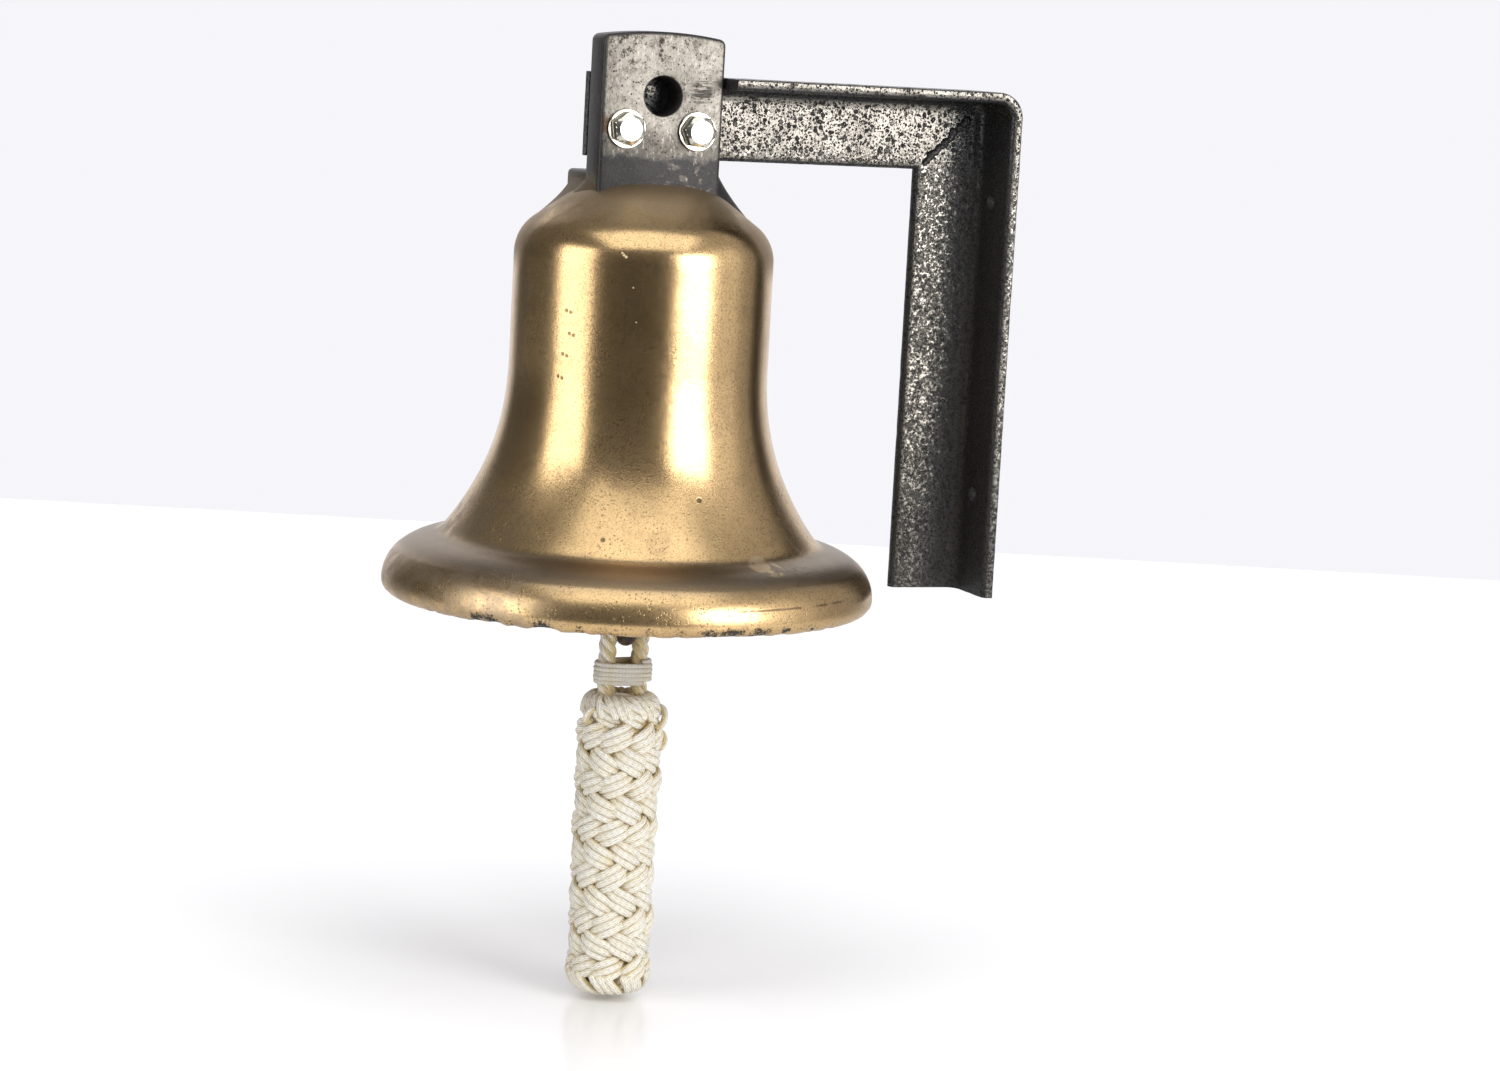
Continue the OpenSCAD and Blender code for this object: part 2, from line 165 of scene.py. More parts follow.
# %% Build the node helpers
ORIGIN = {"X": AXIS_X, "Y": AXIS_Y, "Z": MOUTH_Z}


class NodeTree:
    """A tree of shader nodes, with one word for each common step."""

    def __init__(self, tree, place=None):
        self.tree, self.place = tree, place

    def fill(self, socket, value):
        """Links an output to an input, or writes a plain value into it."""
        if isinstance(value, bpy.types.NodeSocket):
            self.tree.links.new(value, socket)
        else:
            socket.default_value = value

    def add(self, kind, settings=None, *values, **sockets):
        """Adds a shader node, sets its options, and fills its inputs in order or by name."""
        node = self.tree.nodes.new("ShaderNode" + kind)
        for option, value in (settings or {}).items():
            setattr(node, option, value)
        for socket, value in zip(node.inputs, values):
            self.fill(socket, value)
        for label, value in sockets.items():
            self.fill(node.inputs[label.replace("_", " ")], value)
        return node

    def maths(self, operation, first, second=0.0):
        return self.add("Math", {"operation": operation}, first, second).outputs[0]

    def vectors(self, operation, *values, **sockets):
        return self.add("VectorMath", {"operation": operation}, *values, **sockets).outputs

    def chained(self, operation, first, *others):
        for other in others:
            first = self.maths(operation, first, other)
        return first

    def times(self, *values):
        return self.chained("MULTIPLY", *values)

    def plus(self, *values):
        return self.chained("ADD", *values)

    def most(self, *values):
        return self.chained("MAXIMUM", *values)

    def rest_of(self, value):
        return self.maths("SUBTRACT", 1.0, value)

    def ramp(self, value, low, high, smooth=True):
        """Runs from 0 to 1 as the value goes from low to high, or back if low is the greater."""
        kind = "SMOOTHSTEP" if smooth else "LINEAR"
        ends = (low, high, 0.0, 1.0) if low < high else (high, low, 1.0, 0.0)
        node = self.add("MapRange", {"interpolation_type": kind, "clamp": True}, value, *ends)
        return node.outputs["Result"]

    def scaled(self, value, low, high):
        """Spreads a value from 0 to 1 over another range."""
        return self.add("MapRange", {"clamp": True}, value, 0.0, 1.0, low, high).outputs["Result"]

    def blend(self, share, first, second):
        """Mixes two colours: the first where share is 0, the second where it is 1."""
        node = self.add("Mix", {"data_type": "RGBA"})
        for number, value in ((0, share), (6, first), (7, second)):
            self.fill(node.inputs[number], (*value, 1.0) if isinstance(value, tuple) else value)
        return node.outputs[2]

    def laid(self, under, colour, share, strength=1.0):
        """Lays a colour over another where share is 1, as thickly as strength says."""
        if strength < 1.0:
            share = self.scaled(share, 0.0, strength)
        return self.blend(share, under, colour)


print("a node tree now has words for its steps")

# %% [markdown]
# ## The studio
# The floor is a broad pale sheet under the rope's end, and the world stands in for the white
# wall behind it. A polished bell shows its whole surroundings, so the world is pale behind the
# bell and dark on the camera's side, as a studio is. What the camera itself sees is plain white.

# %% Build the world
# Each pale stretch: azimuth, half its width, its soft edge, the height where it fades, brightness
PALE_STRETCHES = [(158.5, 34, 20, 40, 0.95), (60, 15, 14, 34, 0.62), (72, 48, 24, 58, 0.32)]
FADE_DEG = 10

world = bpy.data.worlds.new("studio")
bpy.context.scene.world = world
world.use_nodes = True
world.node_tree.nodes.clear()
sky = NodeTree(world.node_tree)
seen = sky.add("TexCoord").outputs["Generated"]
rise = sky.add("SeparateXYZ", None, seen).outputs["Z"]
compass = sky.vectors("NORMALIZE", sky.vectors("MULTIPLY", seen, (1.0, 1.0, 0.0))[0])[0]
level = sky.scaled(rise, 0.10, 0.26)
for azimuth, half_width, soft, top, brightness in PALE_STRETCHES:
    around = math.radians(azimuth)
    facing = sky.vectors("DOT_PRODUCT", compass, (math.sin(around), -math.cos(around), 0.0))
    near_edge = math.cos(math.radians(half_width - soft / 2))
    far_edge = math.cos(math.radians(half_width + soft / 2))
    patch = sky.ramp(facing["Value"], far_edge, near_edge)
    over = math.sin(math.radians(top + FADE_DEG))
    under = math.sin(math.radians(top - FADE_DEG))
    glow = sky.scaled(sky.times(patch, sky.ramp(rise, over, under)), 0.0, brightness)
    level = sky.plus(level, glow)
wall = sky.add("Background", None, (0.98, 0.97, 1.0, 1.0), level)
white = sky.add("Background", None, (0.925, 0.92, 0.955, 1.0), 1.0)
camera_ray = sky.add("LightPath").outputs["Is Camera Ray"]
studio = sky.add("MixShader", None, camera_ray, wall.outputs[0], white.outputs[0])
sky.add("OutputWorld", None, studio.outputs[0])
print("the world is pale behind the bell")

# %% [markdown]
# ## Meshes made of rows of points
# A lathe, a tube and a bar are all the same thing to a mesh: rows of points joined by quads.
# One helper joins the rows, one turns lists of such strips into an object.

# %% Join rows of points into quads


def strip_quads(rows, columns):
    """The quads between rows of points, where each row's end joins its start."""
    row = np.arange(rows - 1)[:, None]
    column = np.arange(columns)[None, :]
    after = (column + 1) % columns
    corners = (
        row * columns + column, row * columns + after,
        (row + 1) * columns + after, (row + 1) * columns + column,
    )
    return np.stack(np.broadcast_arrays(*corners), axis=-1).reshape(-1, 4).tolist()


def end_faces(rows, columns):
    """One face over the first row of points and one over the last."""
    last = (rows - 1) * columns
    return [list(range(columns)), list(range(last, last + columns))]


def finish_piece(name, mesh, materials, angle=None):
    """Gives a mesh its materials and its shading, and stands it in the scene."""
    for material in materials:
        mesh.materials.append(material)
    mesh.shade_smooth()
    if angle is not None:
        mesh.set_sharp_from_angle(angle=math.radians(angle))
    piece = bpy.data.objects.new(name, mesh)
    bpy.context.scene.collection.objects.link(piece)
    print(name, "has", len(mesh.vertices), "points and", len(mesh.polygons), "faces")
    return piece


def make_piece(name, strips, materials, angle=None):
    """One object from (points, faces) or (points, faces, material number) strips."""
    points, faces, numbers, first = [], [], [], 0
    for strip_points, strip_faces, *number in strips:
        points.append(np.asarray(strip_points, float).reshape(-1, 3))
        faces.extend([index + first for index in face] for face in strip_faces)
        numbers.extend((number or [0]) * len(strip_faces))
        first += len(points[-1])
    mesh = bpy.data.meshes.new(name)
    mesh.from_pydata(np.concatenate(points).tolist(), [], faces)
    mesh.polygons.foreach_set("material_index", numbers)
    shape = bmesh.new()
    shape.from_mesh(mesh)
    bmesh.ops.recalc_face_normals(shape, faces=shape.faces)
    shape.to_mesh(mesh)
    shape.free()
    return finish_piece(name, mesh, materials, angle)


def settle(piece, body, slot, *nodes):
    """Fixes a finished piece to its body and hides what it stands for. Its slot is not used."""
    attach(piece, body)
    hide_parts(*nodes)


print("rows of points become quads")

# %% [markdown]
# ## Turned shapes
# The bell and its washers are turned on an axis, so a list of radii and heights is all that
# they need. The same words place points round a bolt or a rope.

# %% Turn an outline about an axis


def polar(radius, angles, heights):
    """Points at a distance, an angle in radians and a height from an upright axis."""
    return np.stack(
        np.broadcast_arrays(radius * np.cos(angles), radius * np.sin(angles), heights), -1
    )


def round_turn(columns):
    return np.linspace(0, 2 * math.pi, columns, endpoint=False)


def lathe(profile, columns):
    """Turns (radius, height) rows about an upright axis. All sizes are in millimetres."""
    profile = np.asarray(profile, float)
    points = polar(profile[:, 0:1], round_turn(columns), profile[:, 1:2])
    return points, strip_quads(len(profile), columns)


print("outlines can be turned")

# %% [markdown]
# ## Finishes
# Each material has one shader and the words for wear: clouds of noise, pits, hairlines, what
# lies near a point or in a band, and which way a face looks.

# %% Build the material helper


class Finish(NodeTree):
    """A material with one Principled shader, in the object's own coordinates in metres."""

    def __init__(self, name, colour, roughness, metallic=0.0, **sockets):
        self.material = bpy.data.materials.new(name)
        self.material.use_nodes = True
        super().__init__(self.material.node_tree)
        self.place = self.add("TexCoord").outputs["Object"]
        self.shader = self.tree.nodes["Principled BSDF"]
        self.wear(Base_Color=(*colour, 1.0), Roughness=roughness, Metallic=metallic, **sockets)

    def wear(self, **sockets):
        """Links or writes the shader's own inputs by name."""
        for label, value in sockets.items():
            self.fill(self.shader.inputs[label.replace("_", " ")], value)

    def clouds(self, size_mm, detail=3.0, roughness=0.5, distortion=0.0, squeeze=None):
        """Noise from 0 to 1 in lumps about size_mm across, drawn out where it is squeezed."""
        place = self.place if squeeze is None else self.vectors("MULTIPLY", self.place, squeeze)[0]
        return self.add(
            "TexNoise", {"noise_dimensions": "3D"}, Vector=place, Scale=1.0 / (size_mm * MM),
            Detail=detail, Roughness=roughness, Distortion=distortion,
        ).outputs["Fac"]

    def bent(self, scale, detail, shift):
        """The coordinates pushed to and fro by noise, by less than shift metres."""
        push = self.add("TexNoise", Vector=self.place, Scale=scale, Detail=detail)
        small = self.vectors("SCALE", push.outputs["Color"], Scale=shift)[0]
        return self.vectors("ADD", self.place, small)[0]

    def pits(self, size_mm, share, place=None):
        """Round specks: 1 inside a speck, 0 outside, where share sets how much each fills."""
        place = self.place if place is None else place
        cells = self.add("TexVoronoi", {"feature": "F1"}, Vector=place, Scale=1.0 / (size_mm * MM))
        return self.ramp(cells.outputs["Distance"], share, share * 0.6)

    def hairlines(self, cell_mm, width):
        """Thin branching lines: 1 along the borders of large, bent cells."""
        cells = self.add(
            "TexVoronoi", {"feature": "DISTANCE_TO_EDGE"},
            Vector=self.bent(90.0, 3.0, 0.012), Scale=1.0 / (cell_mm * MM),
        )
        return self.ramp(cells.outputs["Distance"], width, width * 0.3)

    def near(self, point, reach_mm, soft_mm):
        """1 within reach of a point given from the bell's mouth, 0 beyond its soft edge."""
        gap = self.vectors("DISTANCE", self.place, tuple(at_bell(point)))["Value"]
        return self.ramp(gap, (reach_mm + soft_mm) * MM, reach_mm * MM)

    def near_any(self, spots, soft_mm):
        """The values of near for some spots: a point and a reach each."""
        return [self.near(spot[:3], spot[3], soft_mm) for spot in spots]

    def along(self, axis):
        return self.add("SeparateXYZ", None, self.place).outputs[axis]

    def band(self, axis, start, stop, *shifts, smooth=True):
        """From 0 to 1 between two places on an axis, in millimetres from the mouth's middle."""
        value = self.plus(self.along(axis), *shifts)
        return self.ramp(value, ORIGIN[axis] + start * MM, ORIGIN[axis] + stop * MM, smooth)

    def faces(self, axis):
        """How far the surface faces along an axis of the frame, from -1 to 1."""
        turned = self.add(
            "VectorTransform",
            {"vector_type": "NORMAL", "convert_from": "WORLD", "convert_to": "OBJECT"},
            self.add("NewGeometry").outputs["Normal"],
        )
        return self.add("SeparateXYZ", None, turned.outputs[0]).outputs[axis]

    def bumps(self, *layers):
        """Stacks bumps: each layer's height from 0 to 1, its depth in millimetres and strength."""
        under = {}
        for height, depth, strength in layers:
            node = self.add("Bump", Height=height, Distance=depth * MM, Strength=strength, **under)
            under = {"Normal": node.outputs[0]}
        self.wear(**under)


print("a finish can be clouded, pitted and scratched")

# %% [markdown]
# ## Marks on the brass
# An old bell tells its age by its marks, and they lie where they lie: knocks, nicks and fresh
# scratches, which are painted as glints. So each is written down by its place, and only the
# finest specks are left to chance.

# %% Note the marks on the bell


def on_bell(radius, angle, height):
    """A place on the bell, in millimetres, from an angle given in degrees."""
    turned = math.radians(angle)
    return (radius * math.cos(turned), radius * math.sin(turned), height)


# Each mark: radius, angle, height and reach
knocks = [(84, -84.5, 66, 1.1), (127, -82.5, 17, 1.6), (96, -118, 45, 0.9), (116, -137, 28, 1.4)]
# Short slanting nicks down the left, each two dents side by side
for angle, low in ((-142.5, 160), (-140.5, 148), (-143.5, 137), (-145.5, 125)):
    knocks += [(70.3, angle - 1.1, low + 0.4, 0.5), (70.3, angle + 1.1, low - 0.4, 0.5)]
# The scratches are painted pale, as glints
scratches = [
    (70.3, -111.5, 157, 0.1), (71, -107.5, 103.4, 0.4), (71, -107.4, 102.4, 0.5),
    (71, -107.2, 101.2, 0.4), (69.3, -119, 192.6, 0.4), (69.6, -118.2, 191.6, 0.5),
    (69.9, -117.2, 190.8, 0.5),
]
print("the bell has", len(knocks), "dents and", len(scratches) + 1, "fresh scratches")

# %% [markdown]
# ## The shine of cast brass
# An old bell is polished bright where hands and rags reach it and brown where they don't. One
# metallic shader does all of it: slow clouds of noise move the colour between gold and olive
# brown, fine noise adds specks, and both nudge the roughness, so the bright bars look rubbed.

# %% Make the bell's brass


def spots_of(marks):
    return [(*on_bell(radius, angle, height), reach) for radius, angle, height, reach in marks]


def bell_brass():
    brass = Finish("bell_brass", (0.62, 0.43, 0.215), 0.25, 1.0)
    slow, patches = brass.clouds(55, 4.0, 0.6, 0.4), brass.clouds(15, 5.0, 0.62, 0.8)
    specks = brass.clouds(1.0, 4.0, 0.78)
    # The flare and the lip are the most pitted
    low_down = brass.band("Z", 85, 55)
    freckles = brass.times(
        brass.pits(2.1, 0.28), brass.ramp(brass.clouds(12), 0.38, 0.58),
        brass.scaled(low_down, 0.16, 0.9),
    )
    colour = brass.blend(brass.ramp(slow, 0.35, 0.7), (0.67, 0.465, 0.23), (0.59, 0.405, 0.20))
    colour = brass.laid(colour, (0.42, 0.285, 0.15), brass.ramp(patches, 0.48, 0.75), 0.55)
    colour = brass.laid(colour, (0.21, 0.14, 0.07), brass.ramp(specks, 0.50, 0.62), 0.62)
    colour = brass.laid(colour, (0.12, 0.08, 0.045), freckles, 0.7)
    # The crown is brown, and the same brown on the shoulder's two sides is painted shade
    crown = brass.band("Z", 210, 230, brass.times(patches, 0.02))
    for painted_side_shade in brass.near_any(spots_of([(66, -192, 203, 12), (66, -30, 203, 12)]), 18):
        crown = brass.most(crown, brass.scaled(painted_side_shade, 0.0, 0.85))
    colour = brass.laid(colour, (0.32, 0.245, 0.165), crown, 0.8)
    # Painted shade in the crease, the dull left side and the cleaned patch on the right
    crease_shade = brass.times(brass.band("Z", 37.5, 32.5), brass.band("Z", 19, 29))
    colour = brass.laid(colour, (0.235, 0.19, 0.14), crease_shade, 0.9)
    low_left = brass.times(
        brass.band("X", -66, -100), brass.band("Z", 75, 45), brass.ramp(patches, 0.30, 0.62)
    )
    colour = brass.laid(colour, (0.34, 0.265, 0.19), low_left, 0.65)
    cleaned = brass.times(
        brass.near(on_bell(108, -68, 30), 9, 3), brass.ramp(brass.clouds(9, 4.0), 0.36, 0.46)
    )
    colour = brass.laid(colour, (0.68, 0.53, 0.33), cleaned, 0.75)
    # Old cracks on the right, a worn line round the lip, and the knocks
    on_right = brass.most(
        brass.near(on_bell(92, -46, 50), 14, 16), brass.near(on_bell(118, -60, 26), 12, 8)
    )
    cracked = brass.times(brass.hairlines(24, 0.016), on_right)
    off_line = brass.maths("SUBTRACT", brass.along("Z"), MOUTH_Z + 0.0148)
    line = brass.times(
        brass.ramp(brass.maths("ABSOLUTE", off_line), 0.0008, 0.0002),
        brass.near(on_bell(129, -66, 15), 36, 8), brass.ramp(patches, 0.40, 0.50),
    )
    cracked = brass.most(
        brass.scaled(cracked, 0.0, 0.6), brass.scaled(line, 0.0, 0.8),
        *brass.near_any(spots_of(knocks), 0.9),
    )
    colour = brass.laid(colour, (0.07, 0.05, 0.03), cracked, 0.8)
    # Fresh scratches, painted pale and barely metallic, so they shine as painted glints
    glinting = brass.most(
        brass.near(on_bell(70.3, -113.5, 175), 0.1, 0.6), *brass.near_any(spots_of(scratches), 0.5)
    )
    colour = brass.laid(colour, (0.62, 0.52, 0.33), glinting, 0.6)
    # Dark crust in the pits above the chipped edge
    rim = brass.add("Attribute", {"attribute_name": "rim_wear"}).outputs["Fac"]
    lace = [brass.clouds(4.0, 5.0, 0.8, 0.6), brass.clouds(1.2, 4.0, 0.8, 0.4)]
    lace = brass.plus(*[brass.scaled(threads, 0.0, 0.8) for threads in lace])
    crust = brass.ramp(brass.plus(rim, lace), 1.285, 1.345)
    colour = brass.laid(colour, (0.020, 0.020, 0.014), crust, 0.97)
    dull = brass.most(low_left, cleaned, crease_shade, brass.scaled(low_down, 0.0, 0.4))
    rough = brass.plus(
        brass.scaled(patches, 0.17, 0.27), brass.scaled(crown, 0.0, 0.30),
        brass.scaled(dull, 0.0, 0.16), brass.scaled(crust, 0.0, 0.4),
    )
    metallic = brass.scaled(brass.most(crust, glinting), 1.0, 0.15)
    brass.wear(Base_Color=colour, Roughness=rough, Metallic=metallic)
    lines = brass.ramp(brass.clouds(1.1, 2.0, 0.6, 0.8, (0.12, 0.12, 1.0)), 0.66, 0.74)
    brass.bumps(
        (brass.clouds(9), 0.12, 0.5), (specks, -0.05, 0.6),
        (brass.most(freckles, cracked), -0.12, 0.7), (lines, -0.02, 0.35), (crust, -0.6, 0.9),
    )
    return brass.material


bell_metal = bell_brass()
print("made", bell_metal.name)

# %% [markdown]
# ## Red paint inside
# The inside of the bell wears a coat of dull red oxide paint, darker where the years have
# soaked it. Two sizes of noise are enough, because so little light reaches it.

# %% Make the paint inside the bell


def inside_paint():
    paint = Finish("inside_paint", (0.1, 0.03, 0.02), 0.62)
    patches, grain = paint.clouds(22, 5.0, 0.6, 0.5), paint.clouds(2.2, 4.0, 0.65)
    red = paint.blend(
        paint.ramp(patches, 0.35, 0.68), (0.115, 0.030, 0.022), (0.20, 0.065, 0.045)
    )
    colour = paint.laid(red, (0.045, 0.02, 0.015), paint.ramp(grain, 0.58, 0.7), 0.7)
    paint.wear(Base_Color=colour, Roughness=paint.scaled(grain, 0.5, 0.8))
    paint.bumps((patches, 0.4, 0.5), (grain, 0.15, 0.8))
    return paint.material


red_paint = inside_paint()
print("made", red_paint.name)

# %% [markdown]
# ## The bell's body
# A bell is a turned shape, so its outline is turned about its axis: the crown, the shoulder, the
# waist that flares out, the crease and the thick lip, then back up inside. A lathe made by hand
# gives even quads, which hold a smooth reflection far better than a cut solid does. Small slow
# swells keep it from looking machined, and the lip's lower edge gets its casting chips.

# %% Draw the bell's outline
BARREL_R, CROWN_Z, SHOULDER_Z = 70.3, 227.0, 187.0
SHOULDER_ROUND, CROWN_SLOPE, CROWN_ROUND = 24.0, 36.5, 45.0
FLARE_TOP_Z, FLARE_POWER, CREASE_Z, CREASE_R, LIP_EDGE = 130.0, 2.25, 33.0, 104.4, 7.2
WALL, CROWN_WALL, RIM_INNER_R, RIM_EDGE = 7.8, 9.0, 117.0, 1.5
INNER_FLARE_TOP_Z, INNER_FLARE_POWER, INNER_CROWN_ROUND = 150.0, 2.6, 30.0
mouth_mm = MOUTH_R / MM


def arc(centre_r, centre_z, radius, start, stop, steps):
    angles = np.radians(np.linspace(start, stop, steps + 1))
    return np.stack([centre_r + radius * np.cos(angles), centre_z + radius * np.sin(angles)], -1)


def crown_outline(barrel, rounding, top, top_round, steps):
    """From near the axis, down the crown's slope and round the shoulder."""
    slope = math.radians(CROWN_SLOPE)
    shoulder_r = barrel - rounding + rounding * math.sin(slope)
    slope_z = SHOULDER_Z + rounding * math.cos(slope)
    edge_r = shoulder_r - (top - slope_z) / math.tan(slope)
    flat_r = edge_r - top_round * math.tan(slope / 2)
    top_arc = arc(flat_r, top - top_round, top_round, 90, 90 - CROWN_SLOPE, steps)
    shoulder = arc(barrel - rounding, SHOULDER_Z, rounding, 90 - CROWN_SLOPE, 0, 2 * steps)
    return np.concatenate([[[0.05, top], [flat_r * 0.5, top]], top_arc, shoulder])


def flare_outline(barrel, foot_r, top, foot, power, steps):
    heights = np.linspace(top, foot, steps + 1)
    share = (top - heights) / (top - foot)
    return np.stack([barrel + (foot_r - barrel) * share**power, heights], -1)


def run_along(path):
    """How far along a path each of its points lies."""
    return np.concatenate([[0], np.cumsum(np.linalg.norm(np.diff(path, axis=0), axis=1))])


def resampled(path, count):
    """The same path as a number of points at even gaps."""
    run = run_along(path)
    at = np.linspace(0, run[-1], count)
    return np.stack([np.interp(at, run, column) for column in path.T], -1)


def even_rows(outline, gap):
    return resampled(outline, int(run_along(outline)[-1] / gap) + 1)


def eased(rows, height, reach, rounds):
    """Rounds a sharp corner of an outline by averaging the rows within reach of a height."""
    rows = rows.copy()
    near = np.abs(rows[1:-1, 1] - height) < reach
    near &= rows[1:-1, 0] > BARREL_R
    for _ in range(rounds):
        middle = (rows[:-2] + 2 * rows[1:-1] + rows[2:]) / 4
        rows[1:-1][near] = middle[near]
    return rows


lip = arc(0, 0, 1, 90, 0, 60) * [mouth_mm - CREASE_R, CREASE_Z - LIP_EDGE] + [CREASE_R, LIP_EDGE]
outside = np.concatenate([
    crown_outline(BARREL_R, SHOULDER_ROUND, CROWN_Z, CROWN_ROUND, 30),
    flare_outline(BARREL_R, CREASE_R, FLARE_TOP_Z, CREASE_Z, FLARE_POWER, 120),
    lip[1:],
    arc(mouth_mm - LIP_EDGE, LIP_EDGE, LIP_EDGE, 0, -90, 24)[1:],
    [[RIM_INNER_R + RIM_EDGE, 0.0]],
])
inner_flare = flare_outline(
    BARREL_R - WALL, RIM_INNER_R, INNER_FLARE_TOP_Z, 0, INNER_FLARE_POWER, 120
)
inside = np.concatenate([
    arc(RIM_INNER_R + RIM_EDGE, RIM_EDGE, RIM_EDGE, 270, 180, 6),
    inner_flare[::-1][3:],
    crown_outline(
        BARREL_R - WALL, SHOULDER_ROUND - WALL, CROWN_Z - CROWN_WALL, INNER_CROWN_ROUND, 20
    )[::-1],
])
outside_rows = eased(even_rows(outside, 1.2), CREASE_Z, 9.0, 26)
inside_rows = even_rows(inside, 2.4)
print("the outline has", len(outside_rows), "rows outside and", len(inside_rows), "inside")

# %% [markdown]
# ## Chips and swells
# The lip's lower edge is rough: sand from the mould left pits, and years of knocks took chips.
# Each chip is a soft dent at a chosen angle round the rim, written from left to right as they
# are seen, with more of them scattered by a seeded random draw.

# %% Cast the bell
COLUMNS = 512
SWELL_MM = 0.10
random.seed(7)
# Angle round the rim from the +X side in degrees, half width and depth in millimetres, darkness
chips = [
    (-145, 8, 0.9, 0.9), (-141, 6, 1.2, 0.85), (-136, 4, 0.5, 0.6), (-128.5, 9, 1.5, 1.0),
    (-120, 5, 0.5, 0.55), (-114, 11, 0.3, 0.5), (-104, 6, 0.4, 0.5), (-97, 5, 0.3, 0.45),
    (-90, 10, 0.6, 0.75), (-85, 12, 0.8, 0.9), (-78, 13, 0.6, 0.8), (-71, 6, 0.5, 0.65),
    (-62, 8, 0.3, 0.45), (-54, 5, 0.4, 0.5),
]
chips += [
    tuple(random.uniform(*ends) for ends in ((-40, 205), (3, 8), (0.3, 1.0), (0.2, 0.9)))
    for _ in range(26)
]


def rim_wear(angles, column, softness=0.7):
    """How deep, or how dark, the rim's chips are at each angle."""
    wear_and_sheen = np.zeros(len(angles))
    for chip in chips:
        away = (np.degrees(angles) - chip[0] + 180) % 360 - 180
        span = away * math.radians(1) * mouth_mm / chip[1]
        wear_and_sheen = np.maximum(wear_and_sheen, chip[column] * np.clip(1 - span**2, 0, 1) ** softness)
    return wear_and_sheen


def cast(rows):
    points, faces = lathe(rows, COLUMNS)
    angles = round_turn(COLUMNS)
    rough = np.array([noise.noise(Vector((math.cos(a), math.sin(a), 0)) * 34) for a in angles])
    depth = np.clip(rim_wear(angles, 2) + 0.3 * rough, 0, None)[None, :]
    near_edge = np.clip(1 - points[:, :, 2] / 6.0, 0, 1) ** 1.5
    radius = np.hypot(points[:, :, 0], points[:, :, 1])
    outer = np.clip((radius - RIM_INNER_R) / 8.0, 0, 1)
    points[:, :, 2] += depth * near_edge * outer
    shrink = 1 - 0.55 * depth * near_edge * outer / np.maximum(radius, 1)
    points[:, :, :2] *= shrink[:, :, None]
    return points, faces


def rim_darkness(points):
    """How likely dark crust is at each point: most of all just above the chipped edge."""
    flat = points.reshape(-1, 3)
    angles = np.arctan2(flat[:, 1], flat[:, 0])
    band = np.clip((12.0 - flat[:, 2]) / 8.0, 0, 1)
    outer = np.clip((np.hypot(flat[:, 0], flat[:, 1]) - RIM_INNER_R - 2) / 8.0, 0.3, 1)
    return (0.32 + 0.30 * rim_wear(angles, 3, 1.4)) * band * outer


def swell(points):
    """Slow lumps that only ever sink the surface, so the bell keeps its size."""
    flat = points.reshape(-1, 3)
    lumps = np.array([noise.noise(Vector(p) / 32.0) for p in flat])
    radius = np.maximum(np.hypot(flat[:, 0], flat[:, 1]), 1.0)
    flat[:, :2] *= 1 - SWELL_MM * (lumps[:, None] + 1) / radius[:, None]
    return flat.reshape(points.shape)


outer_points, outer_faces = cast(outside_rows)
outer_points = swell(outer_points)
inner_points, inner_faces = cast(inside_rows)
bell_body = make_piece(
    "bell_body",
    [(at_bell(outer_points), outer_faces, 0), (at_bell(inner_points), inner_faces, 1)],
    [bell_metal, red_paint],
)
darkness = np.concatenate([rim_darkness(outer_points), np.zeros(inner_points.size // 3)])
bell_body.data.attributes.new("rim_wear", "FLOAT", "POINT").data.foreach_set("value", darkness)

# %% [markdown]
# ## Flat plates with softened edges
# The lug is a flat slab, and nothing sharpens a picture of a casting like a truly sharp edge,
# which no casting has. The helper stacks copies of the slab's outline, drawn in a little near
# each face, and fills both faces round the holes.

# %% Build the plate helper


def inset(outline, amount):
    """The outline drawn in by an amount, by moving each point along its own normal."""
    outline = np.asarray(outline, float)
    along = np.roll(outline, -1, axis=0) - np.roll(outline, 1, axis=0)
    along /= np.maximum(np.linalg.norm(along, axis=1, keepdims=True), 1e-9)
    inward = np.stack([-along[:, 1], along[:, 0]], -1)
    return outline + inward * amount


def turning(outline):
    x, y = outline[:, 0], outline[:, 1]
    return 0.5 * np.sum(x * np.roll(y, -1) - y * np.roll(x, -1))


def plate(name, outline, holes, front, back, edge, materials, hole_edge=0.6, steps=4):
    """A slab between two Y values with rounded edges, from an outline and holes in X and Z."""
    loops = [(outline, edge), *[(hole, hole_edge) for hole in holes]]
    shape = bmesh.new()
    faces_of = {front: [], back: []}
    for number, (loop, rounding) in enumerate(loops):
        if (turning(loop) > 0) != (number == 0):
            loop = loop[::-1]
        angles = np.linspace(0, math.pi / 2, steps + 1)
        draws = [(rounding * (1 - math.sin(a)), rounding * (1 - math.cos(a))) for a in angles]
        rows = [(inset(loop, draw), front + sink) for draw, sink in draws]
        rows += [(inset(loop, draw), back - sink) for draw, sink in reversed(draws)]
        rings = [[shape.verts.new((x, y, z)) for x, z in points] for points, y in rows]
        for near, far in zip(rings, rings[1:]):
            for i in range(len(near)):
                j = (i + 1) % len(near)
                shape.faces.new((near[i], near[j], far[j], far[i]))
        for side, ring in ((front, rings[0]), (back, rings[-1])):
            for i in range(len(ring)):
                j = (i + 1) % len(ring)
                faces_of[side].append(shape.edges.get((ring[i], ring[j])))
    for side in (front, back):
        bmesh.ops.triangle_fill(shape, use_beauty=True, edges=faces_of[side])
    bmesh.ops.recalc_face_normals(shape, faces=shape.faces)
    mesh = bpy.data.meshes.new(name)
    shape.to_mesh(mesh)
    shape.free()
    return finish_piece(name, mesh, materials, 38)


def circle(centre_x, centre_z, radius, count=64):
    angles = round_turn(count)
    return np.stack([centre_x + radius * np.cos(angles), centre_z + radius * np.sin(angles)], -1)


print("a plate can have holes")

